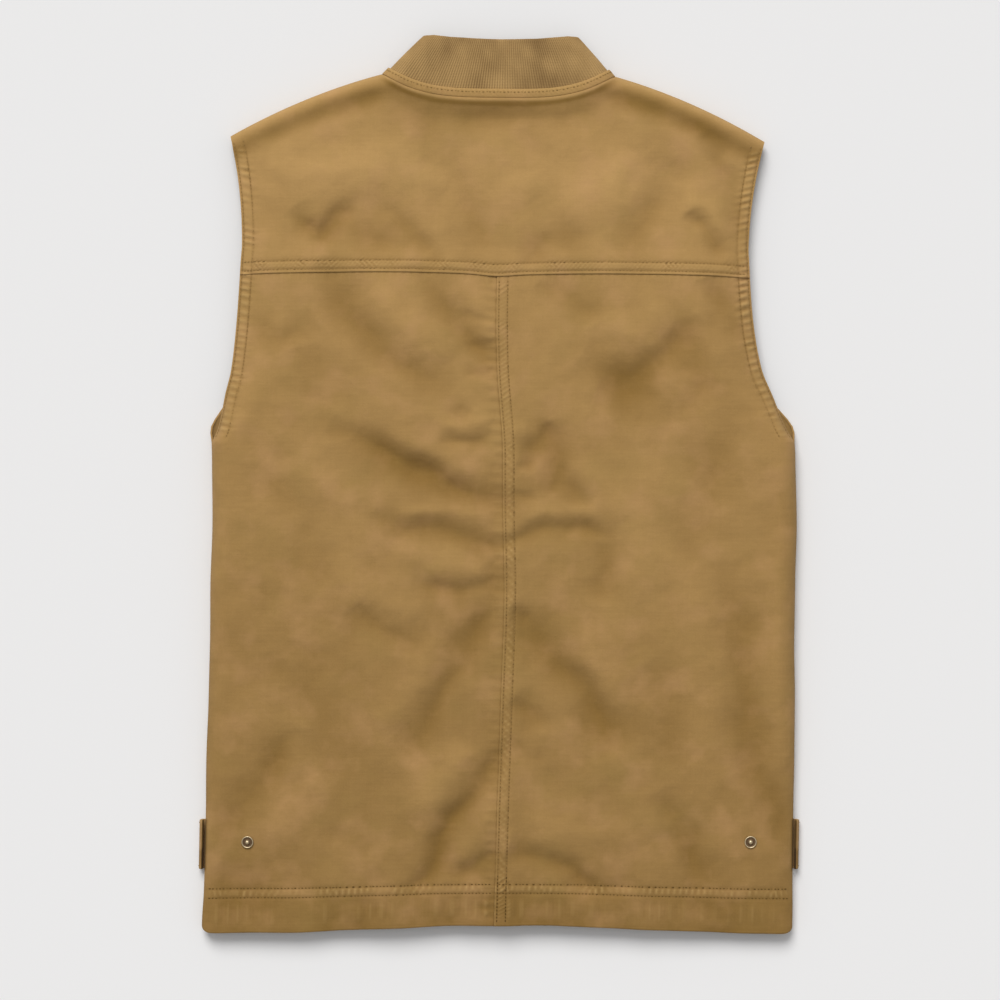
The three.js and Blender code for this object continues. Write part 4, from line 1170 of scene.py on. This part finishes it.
@dataclass
class Back:
    """The back: yoke, two panels joined by a lapped centre seam, and their topstitching."""

    cloth: BackCloth
    frame: RowFrame
    finishes: Finishes
    edge_turns: int = 16
    seam_columns: int = 14
    body_columns: int = 84
    yoke_columns: int = 200

    def stitch_line(self, layer: Layer, x: Array, y: Array | float) -> Array:
        """Points along a line on the cloth, with the way out of it.

        Args:
            layer: Which cloth layer.
            x: Places across.
            y: Heights above the hem.

        Returns:
            One row of six numbers for each point.
        """
        steps = ((0, 0), (0.5, 0), (-0.5, 0), (0, 0.5), (0, -0.5))
        at, right, left, up, down = (self.cloth.points(layer, x + across, y + along) for across, along in steps)
        return np.concatenate([at, np.cross(right - left, up - down)], axis=1)

    def armhole_lines(self, layer: Layer, side: Side, low: float, high: float) -> list[Array]:
        """Both rows of stitches beside an armhole, between two heights.

        Args:
            layer: Which cloth layer.
            side: Which armhole.
            low: Where the rows start.
            high: Where they end.

        Returns:
            The points of each row, as stitch_line gives them.
        """
        plan, rows, y = self.cloth.plan, self.cloth.armhole, np.arange(low, high, 0.8)
        square = np.hypot(1, plan.edge_slope(y))
        return [
            self.stitch_line(layer, side.value * (plan.back_half(y) - row * square), y) for row in (rows.near, rows.far)
        ]

    def panel(self, side: Side) -> None:
        """Makes one back panel with its stitches.

        Args:
            side: Which half.
        """
        plan, cloth = self.cloth.plan, self.cloth
        rows = np.concatenate([
            np.arange(0, 46, 1.5), np.arange(46, plan.underarm - 4, 2.7),
            np.arange(plan.underarm - 4, plan.yoke_seam - 14, 1.75),
            evenly(plan.yoke_seam - 14, plan.yoke_seam + plan.lap, 18),
        ])[:, None]
        seam, width = plan.seam(rows), plan.back_half(rows)
        turned = width - round_stops(plan.side_round, self.edge_turns)[None]
        if side is Side.RIGHT:
            layer = Layer.RIGHT_PANEL
            lap = seam + np.concatenate([evenly(0, plan.lap + 1.5, self.seam_columns), [14.5, 17, 19.5, 22]])[None]
        else:
            layer, turned = Layer.LEFT_PANEL, -turned
            lap = seam - np.concatenate([[-11, -8, -5, -3, -1.5], evenly(-0.5, 12, self.seam_columns)])[None]
        shares = evenly(0, 1, self.body_columns)[None, 1:-1]
        x = np.concatenate([lap, lerp(lap[:, -1:], turned[:, :1], shares), turned], 1)[:, :: side.value]
        y = np.broadcast_to(rows, x.shape)
        tilt = plan.rim_tilt(x, y, width)
        made = ClothWall(
            f"back_{side.word}_cloth", self.frame, cloth.points(layer, x, y), cloth.wall(y), tilt,
            wear=cloth.wear(layer, x, y), crease=cloth.crease(x, y),
        ).build(self.finishes.canvas)
        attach(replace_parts(made, f"back_panel_{side.word}"), "root")
        lines = self.armhole_lines(layer, side, plan.underarm + 3, plan.yoke_seam - 1)
        inner, outer = float(plan.seam(0.0)) + 1, plan.hem_half - 3
        across = np.arange(inner, outer, 1.0) if side is Side.RIGHT else np.arange(-outer, inner - 3, 1.0)
        lines += [self.stitch_line(layer, across, row) for row in (cloth.hem.near, cloth.hem.far)]
        if side is Side.RIGHT:
            up = np.arange(1.5, plan.yoke_seam - 1, 1.0)
            rows = (cloth.centre.near, cloth.centre.far)
            lines += [self.stitch_line(layer, plan.seam(up) + row, up) for row in rows]
        sewn = Stitches(f"back_{side.word}_stitches", self.frame).build(lines, self.finishes.thread)
        LOG.info("back panel %s: %d points, %d rows of stitches", side.word, len(made.data.vertices), len(lines))

    def yoke(self, neck: "Neck") -> None:
        """Makes the yoke with its stitches.

        Args:
            neck: The neck's loop, which says how the yoke's upper edge faces.
        """
        plan, cloth = self.cloth.plan, self.cloth
        turned = 1 - round_stops(plan.side_round, self.edge_turns) / plan.shoulder_half
        middle = evenly(-turned[0], turned[0], self.yoke_columns)
        for corner in (-plan.neck_half / plan.shoulder_half, plan.neck_half / plan.shoulder_half):
            middle[np.argmin(np.abs(middle - corner))] = corner
        share = np.concatenate([-turned[:0:-1], middle, turned[1:]])[None]
        lapped = plan.yoke_seam + plan.lap
        start = lapped + plan.lap_fade
        low = np.concatenate([evenly(plan.yoke_seam, lapped, 10), evenly(lapped, start, 7)[1:]])
        top_x = share * plan.shoulder_half
        inside = np.abs(top_x[0]) <= plan.neck_half + 1e-6
        length = np.where(inside, plan.neckline(top_x), plan.shoulder_line(top_x)) - start
        body = evenly(0, 1, 62)[1:-1, None] * (length - plan.shoulder_round)
        high = start + np.concatenate([body, length - plan.shoulder_stops()[:, None]])
        x = share * plan.back_half(np.concatenate([low, high[:, 0]]))[:, None]
        y = np.concatenate([np.broadcast_to(low[:, None], (len(low), share.size)), high])
        grid = cloth.points(Layer.YOKE, x, y)
        tilt, facing = np.ones(x.shape), np.full(grid.shape, np.nan)
        tilt[-1] = inside
        facing[-1, inside] = neck.facing_over_back(top_x[0, inside])
        made = ClothWall(
            "yoke_cloth", self.frame, grid, plan.cloth, tilt, facing, wear=cloth.wear(Layer.YOKE, x, y),
            crease=cloth.crease(x, y),
        ).build(self.finishes.canvas)
        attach(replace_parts(made, "back_yoke"), "root")
        lines = []
        for height in (plan.yoke_seam + cloth.yoke_edge.near, plan.yoke_seam + cloth.yoke_edge.far):
            half = float(plan.back_half(height)) - 2
            lines.append(self.stitch_line(Layer.YOKE, np.arange(-half, half, 1.0), height))
        for side in Side:
            lines += self.armhole_lines(Layer.YOKE, side, plan.yoke_seam + 1, plan.shoulder_tip - 3)
        sewn = Stitches("yoke_stitches", self.frame).build(lines, self.finishes.thread)
        LOG.info("yoke: %d points, %d rows of stitches", len(made.data.vertices), len(lines))


@dataclass
class Neck:
    """The neck's loop, with the canvas band and the rib-knit collar that stand on it."""

    plan: VestPlan
    frame: RowFrame
    finishes: Finishes
    band_height: float = 8.0
    ease: float = 0.6
    height: float = 53.0
    top_half: float = 70.5
    top_lean: float = 1.4
    top_dip: float = 4.5
    top_loft: float = 21.0
    fold_height: float = 11.0
    front_height: float = 1.5
    turn: float = 13.0
    bulge: float = 1.2
    roundness: float = 2.2
    rib_pitch: float = 2.05
    rib_relief: float = 0.6
    rib_steps: int = 6
    levels: int = 22

    def __post_init__(self) -> None:
        """Lays the loop out, from one front edge over the back of the neck to the other."""
        plan = self.plan
        peak = plan.back_length + self.height + self.top_dip
        power = 2 / self.roundness
        below = plan.shoulder_stops()
        folded = np.arccos(np.clip(below / plan.front_neck_drop, 0, 1) ** (1 / power))
        turns = np.concatenate([evenly(0, folded[0], 70), folded[1:-1]])
        share = np.maximum(np.sin(turns) ** power, plan.front_opening / 2 / plan.neck_half)
        drop = np.maximum(np.cos(turns), 0) ** power
        x, y = share * plan.neck_half, plan.neck_point - plan.front_neck_drop * drop
        top = lerp(peak, plan.front_neck + self.height, drop)
        front = np.stack([x, y, plan.front_height(x, y), share, top, np.zeros_like(x)], 1)
        share = np.sin(evenly(-math.pi / 2, math.pi / 2, 150))
        x, top = plan.neck_half * share, peak - self.top_dip * (1 - share**2)
        y = plan.neckline(x)
        back = np.stack([x, y, plan.back_height(x, y), share, top, np.ones_like(x)], 1)
        loop = np.concatenate([front * np.array([-1, 1, 1, -1, 1, 1]), back, front[::-1]])
        share, top, on_back = loop[:, 3:].T
        layer = np.where(on_back > 0, self.top_loft, self.front_height)
        near = rounded((1 - np.abs(share)) * self.top_half / self.turn)
        self.base = loop[:, :3]
        self.top = np.stack([share * self.top_half + self.top_lean, top, lerp(self.fold_height, layer, near)], 1)
        self.facing = unit(np.cross(np.gradient(self.base, axis=0), self.top - self.base))
        self.front_count = len(turns)

    def facing_over_back(self, x: Array) -> Array:
        """How the loop faces at places across the back neckline."""
        rows = slice(self.front_count, len(self.base) - self.front_count)
        return read_at(x, self.base[rows, 0], self.facing[rows])

    def read(self, stops: Array, done: Array) -> tuple[Array, Array, Array]:
        """Base, upper edge and facing of the loop at stops along it, as grids of one row."""
        base, top, facing = (read_at(stops, done, part)[None] for part in (self.base, self.top, self.facing))
        return base, top, unit(facing)

    def on_neck(self, base: Array, top: Array, facing: Array, up: Array, inward: Array | float) -> Array:
        """Points up from the neckline and in from the loop's outer face.

        Args:
            base: Points on the neckline.
            top: Points on the collar's upper edge.
            facing: How the loop faces.
            up: Distances up from the neckline.
            inward: Distances in from the outer face.

        Returns:
            The points.
        """
        share = up / np.linalg.norm(top - base, axis=-1)
        swell = self.bulge * np.maximum(facing[..., 2], 0) * np.sin(math.pi * np.clip(share, 0, 1))
        return lerp(base, top, share[..., None]) + facing * (swell - inward)[..., None]

    def band(self) -> None:
        """Makes the canvas band round the base of the collar."""
        done = distances(self.base)
        stops = np.linspace(0, done[-1], int(done[-1] / 1.3))
        base, top, facing = self.read(stops, done)
        ups = evenly(self.ease, self.band_height, 10)[:, None]
        waves = np.sin(TURN * (stops + 0.7 * ups) / 4.6 + 2 * crumple(stops, 0 * stops, 25, 41))
        puff = np.sin(math.pi * (ups - self.ease) / (self.band_height - self.ease)) ** 0.6
        inward = -(0.5 + 0.34 * waves) * puff * np.maximum(facing[..., 2], 0)
        grid = self.on_neck(base, top, facing, ups, inward)
        made = ClothWall(
            "neck_band_cloth", self.frame, grid, self.plan.cloth, facing=facing,
            wear=0.3 * puff * (0.4 + waves) + 0.5 * bell(ups - self.band_height + 0.6, 1.2),
        ).build(self.finishes.canvas)
        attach(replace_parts(made, "neck_band"), "root")
        row = self.on_neck(base[0], top[0], facing[0], np.array(self.band_height - 2.6), np.array(-0.35))
        shown = facing[0, :, 2] > 0.3
        line = np.concatenate([row, facing[0]], 1)[shown]
        sewn = Stitches("neck_band_stitches", self.frame).build([line], self.finishes.thread)
        LOG.info("neck band: %d points", len(made.data.vertices))

    def shade(self, x: Array, levels: Array) -> Array:
        """How the knit's soft upright folds shade it, from -1 to 1.

        Args:
            x: Places across.
            levels: Shares of the collar's height.

        Returns:
            The shading.
        """
        lit = 0.9 * bell(x - 66, 17) + 0.7 * bell(x + 74, 13) + 0.8 * bell(x - 5, 12) + 0.5 * bell(x + 34, 9)
        dark = 0.9 * bell(x + 55, 10) + 1.0 * bell(x + 13, 9) + 1.0 * bell(x - 41, 10) + 0.5 * bell(levels - 0.97, 0.06)
        return 0.6 * lit - 0.6 * dark * (0.5 + 0.5 * levels) + 0.6 * crumple(x + 14 * levels, 50 * levels, 13, 44)

    def collar(self) -> None:
        """Makes the rib-knit collar."""
        half = lerp(self.base, self.top, 0.5)
        done = distances(half)
        ribs = int(done[-1] / self.rib_pitch)
        stops = np.linspace(0, done[-1], ribs * self.rib_steps + 1)
        base, top, facing = self.read(stops, done)
        length = np.linalg.norm(top - base, axis=-1)
        levels = evenly(0, 1, self.levels)[:, None]
        rib = np.abs(np.cos(math.pi * stops / (done[-1] / ribs)))[None] ** 0.7
        x = np.interp(stops, done, half[:, 0])[None]
        sway = 1.1 * bell(x - 42, 9) + 0.9 * bell(x + 56, 8) + 0.4 * crumple(x, 40 * levels, 14, 42)
        sway = sway + 0.5 * crumple(x, 60 * levels + 300, 30, 43)
        fold = 0.6 * bell((1 - levels) * length, 2.4)
        above = np.maximum(facing[..., 2], 0)
        seat = lerp(self.plan.canvas + self.plan.gap, self.plan.cloth + self.plan.ply_gap, above)
        inward = seat + self.rib_relief * (1 - rib) + (0.6 * sway + fold) * above
        grid = self.on_neck(base, top, facing, lerp(self.ease, length, levels), inward)
        # Painted shade: dark in the channels between the ribs, pale on the ribs, and the folds' painted shading.
        made = ClothWall(
            "collar_knit", self.frame, grid, self.plan.knit, facing=facing,
            wear=1.6 * rib - 1, crease=self.shade(x, levels),
        ).build(self.finishes.knit)
        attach(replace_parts(made, "collar"), "root")
        LOG.info("collar: %d points, %d ribs", len(made.data.vertices), ribs)


@dataclass
class FrontPanel:
    """One half of the front, which lies under the back and is finished plainly."""

    plan: VestPlan
    frame: RowFrame
    finishes: Finishes
    side: Side
    body_rows: int = 74
    chest_rows: int = 22
    columns: int = 46
    crowding: float = 1.3

    def rows(self, neck: Neck) -> list[tuple[float, float, float, Array | None]]:
        """Lays the panel's rows out, from the hem to the shoulder.

        Args:
            neck: The neck's loop, which the panel's upper edge follows.

        Returns:
            Each row's start across, its heights at the inner and the outer end, and how the neck faces there.
        """
        plan = self.plan
        inner = plan.front_opening / 2
        rows = [(inner, y, y, None) for y in evenly(0, plan.underarm, self.body_rows)]
        neck_share = (plan.front_neck - plan.underarm) / (plan.neck_point - plan.underarm)
        for up in evenly(0, 1, self.chest_rows)[1:] ** self.crowding:
            outer = plan.underarm + plan.armhole * neck_share * up
            rows.append((inner, lerp(plan.underarm, plan.front_neck, up), outer, None))
        turned = plan.shoulder_stops()
        plain = neck.front_count - (len(turned) - 1)
        fold_share = 1 - plan.shoulder_round / plan.armhole
        bases, facings = neck.base[:: -self.side.value], neck.facing[:: -self.side.value]
        for i in range(1, neck.front_count):
            outer = plan.shoulder_tip - turned[max(i - plain, 0)]
            if i < plain:
                outer = plan.underarm + plan.armhole * lerp(neck_share, fold_share, i / plain)
            rows.append((abs(bases[i][0]), bases[i][1], outer, facings[i]))
        return rows + [(plan.neck_half, plan.neck_point, plan.shoulder_tip, facings[neck.front_count])]

    def build(self, neck: Neck) -> None:
        """Makes the panel.

        Args:
            neck: The neck's loop, which the panel's upper edge follows.
        """
        plan, rows, flip = self.plan, self.rows(neck), self.side.value
        edge, shares = round_stops(plan.side_round, 12), evenly(0, 1, self.columns)[:-1]
        grid, tilts = [], []
        facings = np.full((len(rows), len(shares) + len(edge), 3), np.nan)
        for number, (start, low, outer, facing) in enumerate(rows):
            top = number == len(rows) - 1
            width = float(plan.front_half(outer))
            x = np.concatenate([lerp(start, width - plan.side_round, shares), width - edge])
            y = plan.shoulder_line(x) if top else lerp(low, outer, (x - start) / (width - start))
            inside = ramp(width - x, 2, 30) * ramp(plan.shoulder_line(x) - y, 2, 30) * ramp(x - start, 0, 12)
            z = plan.front_height(x, y) + (0.25 + 0.25 * crumple(flip * x, y, 34, 51)) * inside
            tilts.append(plan.rim_tilt(x, y, width) * (not top))
            grid.append(np.stack([flip * x, y + plan.hem_shift(x, y), z], 1))
            if facing is not None:
                facings[number, 0], tilts[-1][0] = facing, 1.0
        made = ClothWall(
            f"front_{self.side.word}_cloth", self.frame, np.array(grid)[:, ::flip], plan.canvas,
            np.array(tilts)[:, ::flip], facings[:, ::flip], faces_down=True,
        ).build(self.finishes.canvas)
        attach(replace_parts(made, f"front_panel_{self.side.word}"), "root")
        LOG.info("front panel %s: %d points", self.side.word, len(made.data.vertices))


@dataclass
class SideTab:
    """An adjuster tab, sewn in at a side and folded back under the front."""

    plan: VestPlan
    frame: RowFrame
    finishes: Finishes
    side: Side
    bulge: float = 5.5
    corner: float = 9.0
    sunk: float = 0.62
    edge_row: float = 2.2
    turned: float = 0.3

    def path(self, off: Array, share: Array) -> Array:
        """Points of the tab's outer face.

        Args:
            off: Distances from the tab's middle, across it.
            share: How far along the tab, from the side seam to its free end.

        Returns:
            Plan points.
        """
        plan, split = self.plan, self.turned
        width = float(plan.front_half(plan.tab_height))
        beyond = np.clip((np.abs(off) - plan.tab_width / 2 + self.corner) / self.corner, 0, 1)
        end = width - plan.tab_length + self.corner * (1 - np.sqrt(1 - beyond**2))
        turn = lerp(math.pi / 3, -math.pi / 2, np.clip(share / split, 0, 1))
        flat = lerp(width, end, np.clip((share - split) / (1 - split), 0, 1))
        x = np.where(share < split, width + self.bulge * np.cos(turn), flat)
        z = np.where(share < split, self.sunk * plan.side_seam * (1 + np.sin(turn)), 0)
        return np.stack([self.side.value * x, plan.tab_height + off, z], -1)

    def build(self) -> None:
        """Makes the tab with its edge stitching."""
        half, flip = self.plan.tab_width / 2, self.side.value
        rim = half - round_stops(4, 6)
        off = np.concatenate([-rim[::-1], evenly(-half + 4, half - 4, 24)[1:-1], rim])
        share = np.concatenate([evenly(0, self.turned, 22), evenly(self.turned, 1, 30)[1:]])
        offs, shares = np.meshgrid(off, share, indexing="ij")
        wear = 0.5 * bell(np.abs(offs) - half + 1, 2) + 0.25 * crumple(offs, 60 * shares, 9, 61)
        # Painted shade on the turned part's lower half, and a painted shadow in the gap where the tab meets the side.
        crease = -1.1 * ramp(-offs, 2, 7) * (shares < self.turned) - 3.0 * (1 - ramp(shares, 0.0, 0.014))
        made = ClothWall(
            f"side_tab_{self.side.word}_cloth", self.frame, self.path(offs, shares)[:, ::flip], self.plan.tab_wall,
            wear=wear[:, ::flip], crease=crease[:, ::flip],
        ).build(self.finishes.tab)
        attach(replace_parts(made, f"side_tab_{self.side.word}"), "root")
        lines = []
        for place in (self.edge_row - half, half - self.edge_row):
            along = evenly(0.05, 0.2, 40)
            line = self.path(np.full_like(along, place), along)
            lines.append(np.concatenate([line, flip * np.cross(np.gradient(line, axis=0), [0.0, 1.0, 0.0])], 1))
        sewn = Stitches(f"side_tab_{self.side.word}_stitches", self.frame, high=0.2).build(lines, self.finishes.thread)
        LOG.info("side tab %s: %d points", self.side.word, len(made.data.vertices))


@dataclass
class PressStud:
    """A press stud on the back: a rimmed dish with a ball in it, a shank, and a flange inside the cloth."""

    back: BackCloth
    frame: RowFrame
    finishes: Finishes
    side: Side
    height: float = 81.5
    inset: float = 38.5
    radius: float = 5.4
    rim_width: float = 1.1
    rim_height: float = 1.5
    ball_radius: float = 2.1
    ball_height: float = 2.9
    base: float = 0.6
    shank: float = 1.7
    flange: float = 4.6
    sides: int = 48

    def profile(self) -> Array:
        """Radius, height and rubbing of each ring, from the flange's middle up to the ball's top.

        Returns:
            One row for each ring.
        """
        gap, ball, flange = self.back.plan.gap, self.ball_radius, self.flange - 0.2
        inside, floor, groove = -self.back.plan.canvas - gap, gap + self.base, self.radius - self.rim_width
        across, up, low = self.rim_width / 2, self.rim_height / 2.2, gap + self.ball_height - ball
        return np.array([
            (0.0, inside - self.base, -0.3), (flange, inside - self.base, -0.3),
            (self.flange, inside - self.base / 2, -0.3), (flange, inside, -0.3),
            (self.shank, inside, -0.5), (self.shank, gap, -0.5), (self.radius - 0.3, gap, -0.2),
            *(
                (self.radius - across + across * math.cos(turn), gap + up + up * math.sin(turn), math.sin(turn))
                for turn in evenly(-math.pi / 3, math.pi, 9)
            ),
            (groove - 0.15, floor + 0.15, -0.9), (groove - 0.45, floor, -1.0),
            (0.86 * ball + 0.35, floor, -1.0), (0.86 * ball, floor + 0.3, -0.6),
            *(
                (ball * math.cos(turn), low + ball * math.sin(turn), 0.9 * turn)
                for turn in evenly(-0.25, math.pi / 2, 9)
            ),
        ])

    def build(self) -> None:
        """Makes the stud, standing square to the cloth."""
        layer = Layer.LEFT_PANEL if self.side is Side.LEFT else Layer.RIGHT_PANEL
        x = self.side.value * (float(self.back.plan.back_half(self.height)) - self.inset)
        turns, reach = evenly(0, TURN, 12)[:-1], self.radius
        around = self.back.points(layer, x + reach * np.cos(turns), self.height + reach * np.sin(turns))
        facing = unit(np.cross(around[0] - around[6], around[3] - around[9]))
        across = unit(np.cross([0.0, 1.0, 0.0], facing))
        profile = self.profile()
        turns = np.arange(self.sides) * TURN / self.sides
        ways = np.outer(np.cos(turns), across) + np.outer(np.sin(turns), np.cross(facing, across))
        points = around.mean(0) + profile[:, :1, None] * ways + profile[:, 1:2, None] * facing
        made = mesh_object(
            f"press_stud_{self.side.word}", self.frame.place(points.reshape(-1, 3)),
            tube_faces(len(profile), self.sides), self.finishes.brass, wear=np.repeat(profile[:, 2], self.sides),
        )
        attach(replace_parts(made, f"snap_stud_{self.side.word}"), "root")
        LOG.info("press stud %s: %d points", self.side.word, len(made.data.vertices))


@dataclass(frozen=True)
class Studio:
    """A pale floor, soft light from beyond the collar, and the camera straight overhead."""

    look_at: tuple[float, float] = (0.0009, -0.0138)
    camera_height: float = 3.0
    across: float = 0.886
    cloth_height: float = 0.022
    sensor: float = 36.0
    floor_half: float = 6.0
    key_strength: float = 2.45
    key_softness: float = 34.0
    key_elevation: float = 46.0
    key_aside: float = -14.0
    soft_size: float = 3.0
    soft_power: float = 14.0
    sky_colour: Colour = (1.0, 0.995, 0.98)
    sky_strength: float = 0.37

    def floor(self) -> None:
        """Makes the floor."""
        corners = [(x * self.floor_half, y * self.floor_half, 0) for x, y in ((-1, -1), (1, -1), (1, 1), (-1, 1))]
        made = mesh_object("floor", np.array(corners), np.array([[0, 1, 2, 3]]), FloorFinish().material())

    def camera(self) -> None:
        """Makes the camera, overhead as in the photograph."""
        data = bpy.data.cameras.new("overhead")
        data.sensor_width = self.sensor
        data.lens = self.sensor * (self.camera_height - self.cloth_height) / self.across
        bpy.context.scene.camera = linked("overhead", data)
        bpy.context.scene.camera.location = (*self.look_at, self.camera_height)

    def lamp(self, name: str, kind: str, place: Vector, energy: float, colour: Colour) -> bpy.types.Light:
        """Adds a light that points at the vest.

        Args:
            name: The light's name.
            kind: Its type.
            place: Where it stands, in metres.
            energy: Its strength.
            colour: Its colour.

        Returns:
            The light's data.
        """
        data = bpy.data.lights.new(name, kind)
        data.energy, data.color = energy, colour
        made = linked(name, data)
        made.location, made.rotation_euler = place, (-place).to_track_quat("-Z", "Y").to_euler()
        return data

    def build(self) -> None:
        """Sets the floor, the camera, the lights and the sky."""
        self.floor()
        self.camera()
        up, aside = math.radians(self.key_elevation), math.radians(self.key_aside)
        way = Vector((math.sin(aside) * math.cos(up), math.cos(aside) * math.cos(up), math.sin(up)))
        key = self.lamp("beyond_collar", "SUN", way * 4, self.key_strength, (1.0, 0.985, 0.96))
        key.angle = math.radians(self.key_softness)
        soft = self.lamp("overhead_soft", "AREA", Vector((-0.3, 0.3, 3.6)), self.soft_power, (1.0, 1.0, 1.0))
        soft.shape, soft.size = "SQUARE", self.soft_size
        scene = bpy.context.scene
        scene.world = bpy.data.worlds.new("pale_sky")
        scene.world.use_nodes = True
        sky = scene.world.node_tree.nodes["Background"]
        sky.inputs[0].default_value, sky.inputs[1].default_value = (*self.sky_colour, 1), self.sky_strength
        scene.view_settings.view_transform = "Standard"
        LOG.info("studio: floor, camera and lights")


def main() -> None:
    """Loads the frame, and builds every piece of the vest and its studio."""
    logging.basicConfig(level=logging.INFO, format="%(name)s: %(message)s")
    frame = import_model()
    plan = VestPlan()
    place = RowFrame.from_cad(plan)
    LOG.info("frame: %d nodes, plan moved by %.3f and %.3f mm", len(frame["nodes"]), place.right, place.up)
    finishes = Finishes.build()
    cloth = BackCloth(plan)
    neck = Neck(plan, place, finishes)
    back = Back(cloth, place, finishes)
    for side in Side:
        back.panel(side)
    back.yoke(neck)
    neck.band()
    neck.collar()
    for side in Side:
        FrontPanel(plan, place, finishes, side).build(neck)
        SideTab(plan, place, finishes, side).build()
        PressStud(cloth, place, finishes, side).build()
    zip_node = frame["nodes"]["front_zip"]
    zip_node.data.materials.clear()
    zip_node.data.materials.append(finishes.zip)
    Studio().build()


if __name__ == "__main__":
    main()
